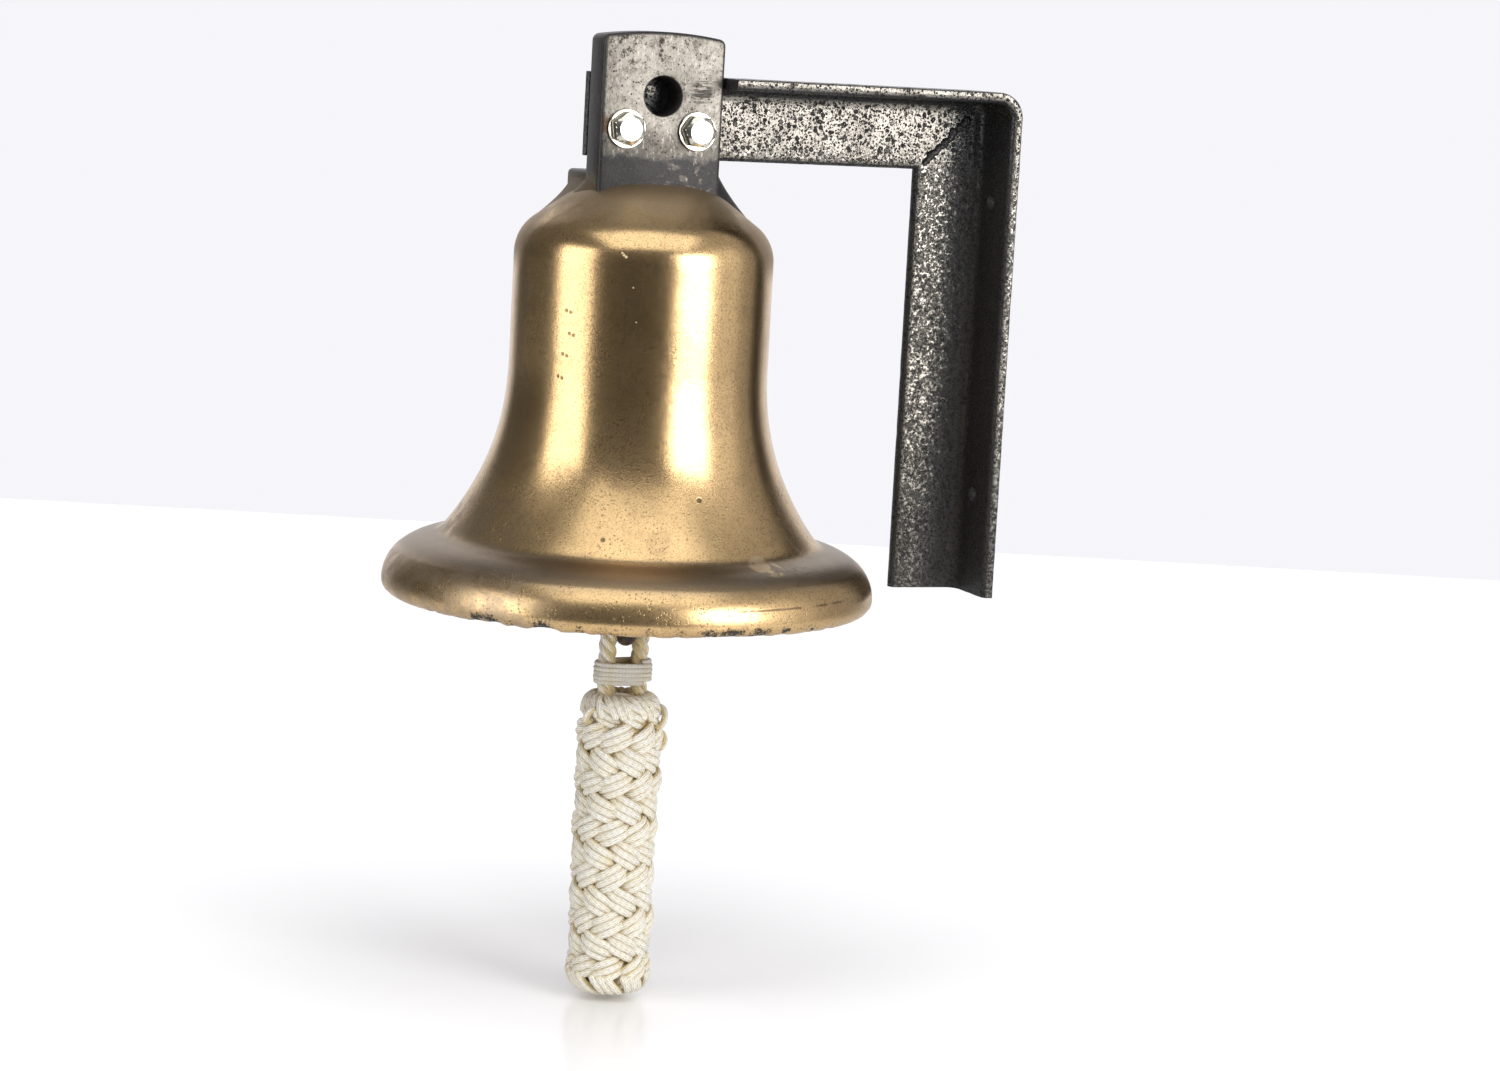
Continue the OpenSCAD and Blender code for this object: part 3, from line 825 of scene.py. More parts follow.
# %% [markdown]
# ## The lug's skin
# The lug's front was rubbed back to bare grey metal above and round the bolts, with dark
# blotches left in its hollows. Below the bolts, and on its sides and back, it still has its
# dark paint. The mask is a height with a ragged edge, kept to what faces forward.

# %% Make the lug's material
BOLT_Z = 256.0
LUG_FRONT_Y, LUG_BACK_Y = -18.0, 4.0


def lug_skin():
    skin = Finish("lug_skin", (0.14, 0.13, 0.11), 0.4)
    mottle, blotch = skin.clouds(9, 6.0, 0.66, 0.25), skin.clouds(4.5, 8.0, 0.78)
    fine = skin.clouds(1.0, 4.0, 0.7)

    def spot(x, z, reach, soft):
        return skin.near((x, LUG_FRONT_Y, z), reach, soft)

    above = skin.band("Z", BOLT_Z - 10, BOLT_Z - 5, skin.times(mottle, 0.014))
    front = skin.ramp(skin.faces("Y"), -0.86, -0.97)
    chipped = skin.ramp(skin.clouds(4.5, 6.0, 0.7), 0.56, 0.59)
    chipped = skin.times(chipped, front, spot(16, 229, 9, 12))
    bare = skin.most(skin.times(above, front), chipped)
    # Bare metal, with painted shade towards the paint and along the top edge, and two dirty places
    shaded = skin.band("Z", BOLT_Z + 7, BOLT_Z - 9)
    grey = skin.blend(shaded, (0.235, 0.216, 0.188), (0.105, 0.096, 0.083))
    # Painted shade along the top edge
    grey = skin.laid(grey, (0.11, 0.10, 0.088), skin.band("Z", 288, 304), 0.30)
    dirty = skin.scaled(skin.most(spot(-20, 301, 7, 9), spot(6, 306, 4, 12)), 0.34, 1.0)
    thin = skin.times(skin.ramp(blotch, 0.49, 0.56), dirty)
    grey = skin.laid(grey, (0.040, 0.036, 0.030), thin)
    # A short crack below the top edge
    crack = [(-3.0, 300.5), (-2.2, 298), (-2.8, 295.5), (-1.8, 293)]
    split = skin.most(spot(-2.5, 303, 1.0, 0.9), *[spot(x, z, 0.6, 0.9) for x, z in crack])
    grey = skin.laid(grey, (0.020, 0.018, 0.016), split, 0.9)
    dots = skin.times(skin.pits(2.4, 0.26), skin.ramp(mottle, 0.40, 0.55))
    dots = skin.most(dots, skin.scaled(skin.ramp(fine, 0.54, 0.66), 0.0, 0.75))
    grey = skin.laid(grey, (0.024, 0.020, 0.016), dots)
    # Pale streaks on the bare face are painted highlights
    painted_highlight_streaks = skin.ramp(skin.clouds(1.6, 5.0, 0.7, squeeze=(1.0, 1.0, 0.35)), 0.54, 0.64)
    grey = skin.laid(grey, (0.36, 0.33, 0.285), painted_highlight_streaks, 0.55)
    scraped = skin.ramp(skin.clouds(1.3, 3.0, 0.65, squeeze=(0.12, 1.0, 1.0)), 0.45, 0.52)
    grey = skin.laid(
        grey, (0.022, 0.020, 0.017), skin.times(scraped, spot(22, 277, 4, 5)), 0.85
    )
    grey = skin.laid(grey, (0.10, 0.05, 0.02), spot(-32, 258, 2.5, 4.0), 0.7)
    paint = skin.blend(
        skin.ramp(mottle, 0.35, 0.7), (0.016, 0.0145, 0.014), (0.033, 0.029, 0.028)
    )
    paint = skin.laid(paint, (0.055, 0.050, 0.046), skin.ramp(fine, 0.50, 0.68), 0.7)
    colour = skin.blend(bare, paint, grey)
    # Where the foot lands on the crown the paint has gone and the brass shows
    right, rear = skin.band("X", -10, 10), skin.band("Y", -12, 6)
    toe = skin.band(
        "Z", 234.5, 222.5, skin.times(blotch, 0.012),
        skin.scaled(right, 0.0, 0.017), skin.scaled(rear, -0.006, -0.005),
    )
    toe = skin.times(toe, skin.band("Y", -16.5, -12.5))
    toe_colour = skin.blend(mottle, (0.15, 0.115, 0.07), (0.27, 0.205, 0.125))
    metal = skin.most(bare, toe)
    skin.wear(
        Base_Color=skin.laid(colour, toe_colour, toe),
        Metallic=skin.scaled(metal, 0.0, 0.95),
        Specular_IOR_Level=skin.scaled(metal, 0.28, 0.5),
        Roughness=skin.plus(
            skin.scaled(mottle, 0.30, 0.46), skin.scaled(fine, -0.05, 0.08),
            skin.scaled(toe, 0.0, 0.16),
        ),
    )
    lines = skin.ramp(skin.clouds(0.8, 2.0, 0.6, 0.3, (0.18, 1.0, 1.0)), 0.64, 0.70)
    skin.bumps((mottle, 0.35, 0.6), (fine, 0.13, 0.7), (lines, -0.06, 0.6))
    return skin.material


lug_paint = lug_skin()
print("made", lug_paint.name)

# %% [markdown]
# ## The lug
# The lug is cast with the bell: a flat slab with a gently arched top, a hole for hanging the
# bell by hand and two bolt holes. Its front runs straight down to the crown. Behind it a low
# block ties it to the crown. Both run on into the crown, as the casting is one.

# %% Build the lug
LUG_W, LUG_TOP_Z, LUG_ARCH, LUG_CORNER = 69.0, 308.0, 200.0, 4.0
SHELF_Z, ROOT_BACK, LUG_ROOT_Z = 232.0, 31.0, SHOULDER_Z + 4
HANG_HOLE_R, HANG_HOLE_Z = 10.5, 274.0
BOLT_PITCH, BOLT_R, BOLT_HOLE_R = 40.0, 5.0, 5.25


def lug_outline():
    """The lug from the front, anticlockwise from its foot on the right."""
    corner_x = LUG_W / 2 - LUG_CORNER
    arch_z = LUG_TOP_Z - LUG_ARCH
    corner_z = arch_z + math.sqrt((LUG_ARCH - LUG_CORNER) ** 2 - corner_x**2)
    lean = math.degrees(math.atan2(corner_z - arch_z, corner_x))
    right_side = np.stack([np.full(22, LUG_W / 2), np.linspace(LUG_ROOT_Z, corner_z, 22)], -1)[:-1]
    corner = arc(corner_x, corner_z, LUG_CORNER, 0, lean, 8)
    top = arc(0, arch_z, LUG_ARCH, lean, 90, 12)[1:]
    half = np.concatenate([right_side, corner, top])
    return np.concatenate([half, (half * [-1, 1])[::-1][1:]])


lug_holes = [circle(0, HANG_HOLE_Z, HANG_HOLE_R)]
lug_holes += [circle(side * BOLT_PITCH / 2, BOLT_Z, BOLT_HOLE_R, 32) for side in (-1, 1)]
lug = plate("bell_lug", lug_outline(), lug_holes, LUG_FRONT_Y, LUG_BACK_Y, 2.2, [lug_paint], 0.9)
print("the lug is", LUG_BACK_Y - LUG_FRONT_Y, "mm thick")

# %% [markdown]
# ## The block behind the lug
# The low block that ties the lug to the crown is a plain box with softened edges, and the
# bracket's web passes just above it. The lug is moved to its place on the crown here too.

# %% Round the root block and place the lug


def rounded_block(low, high, rounding, steps=3):
    """The eight corners of a box, bevelled."""
    shape = bmesh.new()
    bmesh.ops.create_cube(shape, size=1.0)
    for vertex in shape.verts:
        vertex.co = [low[axis] if vertex.co[axis] < 0 else high[axis] for axis in range(3)]
    bmesh.ops.bevel(
        shape, geom=shape.edges[:], offset=rounding, segments=steps, profile=0.5, affect="EDGES"
    )
    bmesh.ops.triangulate(shape, faces=shape.faces[:])
    points = np.array([vertex.co for vertex in shape.verts])
    faces = sorted(sorted(vertex.index for vertex in face.verts) for face in shape.faces)
    shape.free()
    return points, faces


block_points, block_faces = rounded_block(
    (-LUG_W / 2, LUG_BACK_Y - 3, SHOULDER_Z), (LUG_W / 2, LUG_BACK_Y + ROOT_BACK, SHELF_Z), 2.6
)
lug_mesh = lug.data
lug_mesh.transform(Matrix.Scale(MM, 4))
lug_mesh.transform(Matrix.Translation((AXIS_X, AXIS_Y, MOUTH_Z)))
root_block = make_piece("lug_root", [(at_bell(block_points), block_faces)], [lug_paint], 40)

# %% [markdown]
# ## The sweep of the foot
# The pattern maker ran a generous fillet of wax round the foot, and it fades out towards the
# front. So a strip is carried round the sides and the back: at each step one curve leaves the
# wall, bends, and lands on the crown.

# %% Sweep the foot into the crown
FOOT_REAR, FOOT_CORNER = 17.0, 9.0
# Where the sweep starts and how fast it grows, how high it stands and how far it reaches
RIGHT_FOOT = (LUG_FRONT_Y + 2, 9.5, 244.0, 25.0)
LEFT_FOOT = (LUG_FRONT_Y + 1, 34.0, 235.0, 23.0)
crown_profile = outside_rows[outside_rows[:, 1] > SHOULDER_Z]


def crown_height(x, y):
    return float(np.interp(math.hypot(x, y), crown_profile[:, 0], crown_profile[:, 1]))


def foot_walk():
    """Points and outward directions round the foot, from its front left to its front right."""
    half, back, corner = LUG_W / 2 - 0.4, LUG_BACK_Y + ROOT_BACK - 0.4, FOOT_CORNER
    side_y = np.linspace(LUG_FRONT_Y + 2, back - corner, 26)
    right_side = [((half, y), (1.0, 0.0)) for y in side_y]
    angles = np.radians(np.linspace(0, 90, 10))[1:]
    right_side += [
        ((half - corner + corner * math.cos(a), back - corner + corner * math.sin(a)),
         (math.cos(a), math.sin(a))) for a in angles
    ]
    across = [((x, back), (0.0, 1.0)) for x in np.linspace(half - corner, 0, 12)[1:]]
    right_half = right_side + across
    left_half = [((-x, y), (-u, v)) for (x, y), (u, v) in right_half[::-1][1:]]
    return right_half + left_half


foot_rows = []
for (x, y), (u, v) in foot_walk():
    start_y, growth, foot_top, foot_side = RIGHT_FOOT if x > 0 else LEFT_FOOT
    fade = min(max((y - start_y) / growth, 0.0), 1.0)
    fade = fade * fade * (3 - 2 * fade)
    behind = min(max((y - LUG_BACK_Y + 4) / 5.0, 0.0), 1.0)
    crest = foot_top + (SHELF_Z - 1.5 - foot_top) * behind
    spread = 0.6 + (foot_side * abs(u) + FOOT_REAR * (1 - abs(u)) - 0.6) * fade
    base = crown_height(x, y)
    top = np.array([x - 0.7 * u, y - 0.7 * v, base + 1.0 + (crest - base - 1.0) * fade])
    far_x, far_y = x + spread * u, y + spread * v
    toe = np.array([far_x, far_y, crown_height(far_x, far_y) - 0.4])
    knee_z = toe[2] + 0.62 * (top[2] - toe[2])
    knee = np.array([x + 0.07 * spread * u, y + 0.07 * spread * v, knee_z])
    row = [top]
    for share in np.linspace(0, 1, 14)[1:]:
        row.append((1 - share) ** 2 * top + 2 * share * (1 - share) * knee + share**2 * toe)
    row.append(toe - [1.5 * u, 1.5 * v, 3.0])
    row.append(np.array([x - 3.0 * u, y - 3.0 * v, base - 6.0]))
    row.append(top - [3.0 * u, 3.0 * v, 1.0])
    foot_rows.append(row)
foot_rows = np.array(foot_rows)
rows, columns = foot_rows.shape[:2]
foot_faces = strip_quads(rows, columns) + end_faces(rows, columns)
foot = make_piece("lug_foot", [(at_bell(foot_rows), foot_faces)], [lug_paint], 50)
for piece in (foot, bell_body, lug, root_block):
    settle(piece, "bell_and_bracket", "bell_metal", "bell")
print("the lug stands on the crown")

# %% [markdown]
# ## Black paint over pitted steel
# The bracket was painted thickly over rusted steel, and its front was rubbed until the steel
# came through, while every pit kept its black. So the mask of bare steel is set by which way a
# face looks, eaten away by pits of three sizes, and the rest is plain glossy black. The bare
# steel is partly that wear and partly a painted sheen, where the lamp's reflection shows.

# %% Make the bracket's paint


def pitted_paint(name, bare_and_sheen):
    """Black paint over steel, where bare_and_sheen says how much of the wear and painted sheen it
    takes.
    """
    paint = Finish(name, (0.01, 0.01, 0.01), 0.25)
    lumps, where = paint.clouds(11, 5.0, 0.6, 0.3), paint.clouds(20, 3.0, 0.55)
    grain = paint.clouds(0.9, 3.0, 0.7)
    bent = paint.bent(700.0, 1.0, 0.0010)
    # Steel shines again in the middle of the widest pits, which leaves dark rings
    middle = paint.scaled(paint.pits(4.0, 0.15, bent), 0.0, 0.55)
    coarse = paint.times(paint.pits(4.0, 0.36, bent), paint.rest_of(middle))
    small = paint.pits(1.8, 0.39, bent)
    dust = paint.ramp(paint.clouds(0.9, 3.0, 0.75), 0.56, 0.62)
    pitted = paint.most(
        paint.times(coarse, paint.ramp(where, 0.36, 0.50)),
        paint.times(small, 0.92), paint.times(dust, 0.6),
    )
    on_leg, lower = paint.band("Z", 257, 227), paint.band("Z", 122, 22)
    pitted = paint.times(pitted, paint.scaled(on_leg, 1.0, 0.85))
    # Worn steel and painted sheen: what faces forward beyond the lug, most of all at the corner,
    # and never in a pit
    forward_face = paint.ramp(paint.faces("Y"), -0.80, -0.95)
    # Painted shade towards the leg's root, where the web meets the flange, keeps the steel covered
    root = paint.ramp(paint.along("X"), -0.034, -0.013, smooth=False)
    root = paint.times(root, paint.rest_of(paint.band("Y", -31, -33)))
    # Painted shade towards the leg's foot thins the bare steel too
    ragged = paint.plus(paint.clouds(3.2, 6.0, 0.85), paint.times(lower, -0.05))
    ragged = paint.maths("SUBTRACT", ragged, paint.scaled(root, 0.0, 0.30))
    rubbed_and_sheen = paint.times(paint.band("X", 34.5, 36.5), paint.ramp(ragged, 0.34, 0.42))
    rubbed_and_sheen = paint.times(forward_face, rubbed_and_sheen)
    wear_and_sheen = paint.times(rubbed_and_sheen, paint.rest_of(pitted))
    # A bare spot on the web behind the hanging hole is a painted highlight seen through the hole
    wear_and_sheen = paint.times(paint.most(wear_and_sheen, paint.near((0.6, 4, 276.5), 2.0, 1.5)), bare_and_sheen)
    # Down the leg the coat is lumpy, and its tops carry painted glints: bright steel, and a paler
    # grey on the black
    glints = paint.ramp(paint.clouds(1.9, 3.0, 0.7, 0.3), 0.42, 0.56)
    leg_glints = paint.times(glints, on_leg)
    glinting_steel = paint.blend(glints, (0.035, 0.032, 0.029), (0.42, 0.39, 0.345))
    steel = paint.blend(
        paint.ramp(lumps, 0.35, 0.68), (0.25, 0.231, 0.204), (0.150, 0.138, 0.121)
    )
    steel = paint.laid(steel, glinting_steel, on_leg, 0.8)
    # Painted shade: the steel darker towards the leg's foot
    steel = paint.laid(steel, (0.035, 0.032, 0.030), lower, 0.60)
    black = paint.laid((0.010, 0.010, 0.011), (0.028, 0.026, 0.025), lumps, 0.6)
    black = paint.laid(black, (0.004, 0.004, 0.004), paint.times(pitted, paint.times(small, 0.5)))
    # Painted glints on the black, on the lumps' tops that face forward
    black = paint.laid(black, (0.10, 0.09, 0.08), paint.times(leg_glints, forward_face), 0.2)
    paint.wear(
        Base_Color=paint.laid(black, steel, wear_and_sheen), Metallic=wear_and_sheen,
        Roughness=paint.plus(paint.scaled(grain, 0.22, 0.36), paint.scaled(pitted, 0.0, 0.3)),
        Specular_IOR_Level=paint.scaled(pitted, 0.5, 0.15),
    )
    paint.bumps(
        (lumps, 0.5, 0.45), (pitted, -0.5, 0.7), (leg_glints, 0.3, 0.7), (grain, 0.10, 0.7)
    )
    return paint.material


black_paint = pitted_paint("pitted_paint", 1.0)
weld_paint = pitted_paint("weld_paint", 0.2)
print("made", black_paint.name, "and", weld_paint.name)

# %% [markdown]
# ## The wall bracket
# The bracket is one bar of angle iron: cut to the web at the corner, bent there through the
# flange, and welded shut along the mitre. So its mesh is the angle's section carried along the
# bar, where each row knows how far it lies from the heel and turns the corner at that distance.

# %% Draw the angle's section
web_low, web_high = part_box("wall_bracket")
ARM_TOP, LEG_FOOT, ARM_END = web_high.z / MM, web_low.z / MM, web_low.x / MM
ANGLE_LEG, ANGLE_T, ROOT_ROUND, TOE_ROUND, HEEL_BEND, HEEL_EDGE = 45.0, 6.0, 7.0, 3.5, 14.0, 0.8
HALF_LEG = ANGLE_LEG / 2
INNER_Y = HALF_LEG - ANGLE_T
FLANGE_GAP, ROW_GAP = 1.5, 2.0
FLANGE_START = ARM_END + LUG_W + FLANGE_GAP


def section_of(*corners):
    """A closed outline of rounded corners, with points added to its straight runs."""
    points = np.concatenate([arc(*corner) for corner in corners])
    found = []
    for start, stop in zip(points, np.roll(points, -1, axis=0)):
        count = max(1, int(np.linalg.norm(stop - start) / ROW_GAP))
        found.extend(start + (stop - start) * i / count for i in range(count))
    return np.array(found)


# Each corner: u from the outer face inwards, y, radius, first and last angle, steps
back_heel = (HEEL_EDGE, HALF_LEG - HEEL_EDGE, HEEL_EDGE, 90, 180, 3)
front_heel = (HEEL_EDGE, -HALF_LEG + HEEL_EDGE, HEEL_EDGE, 180, 270, 3)
flange_toe = (ANGLE_T - TOE_ROUND, -HALF_LEG + TOE_ROUND, TOE_ROUND, -90, 0, 6)
root_fillet = (ANGLE_T + ROOT_ROUND, INNER_Y - ROOT_ROUND, ROOT_ROUND, 180, 90, 7)
web_toe = (ANGLE_LEG - TOE_ROUND, INNER_Y + TOE_ROUND, TOE_ROUND, -90, 0, 6)
web_end_edge = (ANGLE_LEG - HEEL_EDGE, HALF_LEG - HEEL_EDGE, HEEL_EDGE, 0, 90, 3)
cut_edge = (HEEL_EDGE, INNER_Y + HEEL_EDGE, HEEL_EDGE, 180, 270, 3)
angle_section = section_of(back_heel, front_heel, flange_toe, root_fillet, web_toe, web_end_edge)
web_section = section_of(back_heel, cut_edge, web_toe, web_end_edge)
print("the section has", len(angle_section), "points")

# %% [markdown]
# ## The sweep
# Each row of the section runs the whole length of the bar. The rows near the heel take the
# corner on a bend, and those further in turn it sharply, as the mitre does. Behind the lug the
# flange is cut away, so the bar ends in a strip of the web alone.

# %% Sweep the angle's section


def lap(section, arm_start, leg_stop, corner_steps=12):
    """Carries a section along the arm, round the corner and down the leg."""
    arm_count = int((-HEEL_BEND - arm_start) / ROW_GAP)
    leg_count = int((ARM_TOP - HEEL_BEND - leg_stop) / ROW_GAP)
    angles = np.radians(np.linspace(90, 0, corner_steps + 1))[1:-1]
    rows = []
    for u, y in section:
        bend, turn_at = max(HEEL_BEND - u, 0.0), max(u, HEEL_BEND)
        arm_x = np.linspace(arm_start, -turn_at, arm_count + 1)
        leg_z = np.linspace(ARM_TOP - turn_at, leg_stop, leg_count + 1)
        corner_x = -turn_at + bend * np.cos(angles)
        corner_z = ARM_TOP - turn_at + bend * np.sin(angles)
        x = np.concatenate([arm_x, corner_x, np.full(len(leg_z), -u)])
        z = np.concatenate([np.full(len(arm_x), ARM_TOP - u), corner_z, leg_z])
        rows.append(np.stack([x, np.full(len(x), y), z], -1))
    return np.array(rows)


def straight_bar(section, start, stop):
    x = np.linspace(start, stop, int((stop - start) / ROW_GAP) + 1)
    return np.array([
        np.stack([x, np.full(len(x), y), np.full(len(x), ARM_TOP - u)], -1) for u, y in section
    ])


def closed_bar(rows):
    """Quads round a swept bar, whose rows run lengthwise, and a face over each of its ends."""
    columns, rings = rows.shape[:2]
    points = rows.transpose(1, 0, 2).reshape(-1, 3)
    return points, strip_quads(rings, columns) + end_faces(rings, columns)


def weathered(points, depth, size):
    """Shifts the surface a little by slow lumps and short nicks."""
    flat = points.copy()
    for index, point in enumerate(flat):
        place = Vector(point)
        lump = noise.noise(place / size) + 0.5 * noise.noise(place / (size * 0.35))
        pull = noise.noise_vector(place / (size * 0.8))
        flat[index] += np.array(pull) * depth * 0.35 * (0.6 + lump)
    return flat


# Noise vectors draw offsets of their own, so they take a seed too
noise.seed_set(5)
bar_strips = []
for rows in (
    lap(angle_section, FLANGE_START, LEG_FOOT),
    straight_bar(web_section, ARM_END, FLANGE_START + 1.0),
):
    points, faces = closed_bar(rows)
    bar_strips.append((weathered(points, 0.5, 9.0) * MM, faces))
bracket = make_piece("wall_bracket_bar", bar_strips, [black_paint], 42)

# %% [markdown]
# ## Holes through the bar
# The screw holes and bolt holes are drilled with a boolean cut after the sweep, which is what a
# fitter does too. The four drills are one object, thrown away after the cut.

# %% Drill the bracket
WALL_HOLE_R, WALL_HOLE_PITCH = 4.5, 163.0


def drill_rod(start, stop, radius, columns=40):
    """A closed cylinder between two points in metres, its radius in millimetres."""
    start, stop = Vector(start), Vector(stop)
    turn_to = (stop - start).to_track_quat("Z", "Y").to_matrix()
    rows = [
        [tuple(end + turn_to @ Vector((x, y, 0))) for x, y in circle(0, 0, radius * MM, columns)]
        for end in (start, stop)
    ]
    return np.array(rows).reshape(-1, 3), strip_quads(2, columns) + end_faces(2, columns)


drills = []
for side in (-1, 1):
    hole_z = side * WALL_HOLE_PITCH / 2 * MM
    drills.append(drill_rod((-0.012, 0, hole_z), (0.006, 0, hole_z), WALL_HOLE_R))
bolt_height = MOUTH_Z + BOLT_Z * MM
for side in (-1, 1):
    front, back = [(AXIS_X + side * BOLT_PITCH / 2 * MM, y, bolt_height) for y in (0.012, 0.028)]
    drills.append(drill_rod(front, back, BOLT_HOLE_R))
drill_set = make_piece("drill_set", drills, [black_paint])
cut = bracket.modifiers.new("drilled", "BOOLEAN")
cut.operation = "DIFFERENCE"
cut.solver = "EXACT"
cut.object = drill_set
bpy.context.view_layer.update()
evaluated = bracket.evaluated_get(bpy.context.evaluated_depsgraph_get())
drilled_mesh = bpy.data.meshes.new_from_object(evaluated)
bracket.modifiers.clear()
bracket.data = drilled_mesh
bpy.data.objects.remove(drill_set)
settle(bracket, "bell_and_bracket", "black_paint", "wall_bracket")
print("the drilled bracket has", len(drilled_mesh.polygons), "faces")

# %% [markdown]
# ## Tubes along a path
# Weld beads and cords are both tubes along a path. The helper carries a ring of points
# along the path without letting it twist, and closes both ends with a short dome.

# %% Build the tube helper
# How far each ring of a dome shrinks, and how far it stands out, in shares of the radius
DOME_RINGS = [(0.6, 0.5), (0.02, 0.7)]


def tangents(path):
    along = np.gradient(path, axis=0)
    return along / np.maximum(np.linalg.norm(along, axis=1, keepdims=True), 1e-12)


def tube(path, radius, sides=12):
    """A closed tube. radius is one number or one per point of the path."""
    path = np.asarray(path, float)
    radius = np.broadcast_to(np.asarray(radius, float), (len(path),))
    tangent = tangents(path)
    normal = np.cross(tangent[0], [0.0, 0.0, 1.0])
    if np.linalg.norm(normal) < 0.2:
        normal = np.cross(tangent[0], [0.0, 1.0, 0.0])
    normal = normal / np.linalg.norm(normal)
    angles = round_turn(sides)[:, None]
    rings = []
    for place, along, r in zip(path, tangent, radius):
        normal = normal - along * np.dot(normal, along)
        normal /= np.linalg.norm(normal)
        across = np.cross(along, normal)
        rings.append(place + np.cos(angles) * normal * r + np.sin(angles) * across * r)

    def dome(end, way):
        reach = way * tangent[end] * radius[end]
        return [path[end] + (rings[end] - path[end]) * s + reach * d for s, d in DOME_RINGS]

    rings = dome(0, -1)[::-1] + rings + dome(-1, 1)
    return np.concatenate(rings), strip_quads(len(rings), sides)


print("tubes follow any path")

# %% [markdown]
# ## The weld in the corner
# The mitre is closed by a hand-laid bead. Each ripple is one pause of the rod, so the tube's
# radius rises and falls along it, with a little noise, and half of it lies sunk in the web.

# %% Lay the weld bead
weld_low, weld_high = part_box("mitre_weld")
WELD_R, RIPPLE_MM, WANDER_MM, BEAD_STEPS = 2.7, 3.4, 1.1, 90
bead_start = np.array([weld_low.x, weld_high.y, weld_low.z]) + np.array([1.0, 0.3, 1.0]) * MM
bead_end = np.array(weld_high) + np.array([-2.2, 0.2, -2.2]) * MM
bead_length = np.linalg.norm(bead_end - bead_start) / MM
bead_path, bead_r = [], []
for share in np.arange(BEAD_STEPS + 1) / BEAD_STEPS:
    wander = WANDER_MM * noise.noise(Vector((share * 8, 3.0, 0.0)))
    shift = np.array([wander, 0, -wander]) * MM
    bead_path.append(bead_start + (bead_end - bead_start) * share + shift)
    ripple = 0.78 + 0.22 * abs(math.sin(math.pi * share * bead_length / RIPPLE_MM))
    swelling = 0.90 + 0.55 * noise.noise(Vector((share * 14, 0, 7)))
    bead_r.append(WELD_R * MM * 0.97 * ripple * swelling)
weld = make_piece("mitre_bead", [tube(bead_path, bead_r, 16)], [weld_paint])
settle(weld, "bell_and_bracket", "black_paint", "mitre_weld")

# %% [markdown]
# ## Bright zinc
# The bolts are newer than the rest and still bright. Zinc plate is a pale, slightly warm metal
# with a faint cloudy grain, so the shader is metallic with uneven roughness.

# %% Make the fasteners' zinc


def plated(name, colour, roughness, spread, dirt):
    """A plated metal, where spread is how far its roughness varies and dirt how soiled it is."""
    plating = Finish(name, colour, roughness, 1.0)
    grain, fine = plating.clouds(2.5, 4.0, 0.6), plating.clouds(0.5, 2.0, 0.6)
    soiled = plating.ramp(plating.clouds(4.0, 5.0, 0.65, 0.7), 0.55, 0.72)
    dark = tuple(channel * 0.25 for channel in colour)
    plating.wear(
        Base_Color=plating.laid(colour, dark, soiled, dirt),
        Roughness=plating.scaled(grain, roughness - spread, roughness + spread),
    )
    plating.bumps((grain, 0.06, 0.4), (fine, 0.02, 0.4))
    return plating.material


bright_zinc = plated("bright_zinc", (0.62, 0.60, 0.52), 0.20, 0.05, 0.22)
pin_steel = plated("pin_steel", (0.42, 0.41, 0.39), 0.38, 0.1, 0.7)
print("made", bright_zinc.name, "and", pin_steel.name)

# %% [markdown]
# ## Bolts, washers and nuts
# A bolt is a six-sided head with turned-off corners on a threaded shank. The thread is a real
# ridge here: the rows of the shank step up in radius as the angle goes round, one turn to a
# pitch. Washers and nuts are turned or stacked the same way, all on the same axis.

# %% Draw the fasteners
HEX_AF, HEAD_H, NUT_H, BOLT_LEN = 16.0, 6.4, 8.0, 60.0
WASHER_R, WASHER_T, THREAD_PITCH, THREAD_DEPTH = 10.5, 2.0, 1.5, 0.55
CHAMFER_DEG, CHAMFER_R, CORNER_EASE = 30, 0.385, 0.012


def hex_block(across_flats, height, hole_r, chamfer_low, chamfer_high, columns=96):
    """A hexagonal block along Z, its corners turned off at one end or both."""
    angles = round_turn(columns)
    away = (angles + math.pi / 6) % (math.pi / 3) - math.pi / 6
    hexagon = across_flats / 2 / np.cos(away)
    hexagon = hexagon * (1 - CORNER_EASE * (np.abs(away) / (math.pi / 6)) ** 6)
    depths = np.array([0.0, 0.5, 1.0, 1.4, 1.9])
    rows = []
    for z in np.concatenate([depths, height - depths[::-1]]):
        depth = min(z, height - z)
        if chamfer_low if z < height / 2 else chamfer_high:
            cone = across_flats * CHAMFER_R + depth / math.tan(math.radians(CHAMFER_DEG))
            radius = np.minimum(hexagon, cone)
        else:
            radius = hexagon - 0.25 * max(0.0, 1 - depth / 0.5)
        rows.append(polar(radius, angles, z))
    low_ring, high_ring = (polar(max(hole_r, 0.02), angles, z) for z in (0.0, height))
    rows = [low_ring, *rows, high_ring, low_ring]
    return np.array(rows).reshape(-1, 3), strip_quads(len(rows), columns)


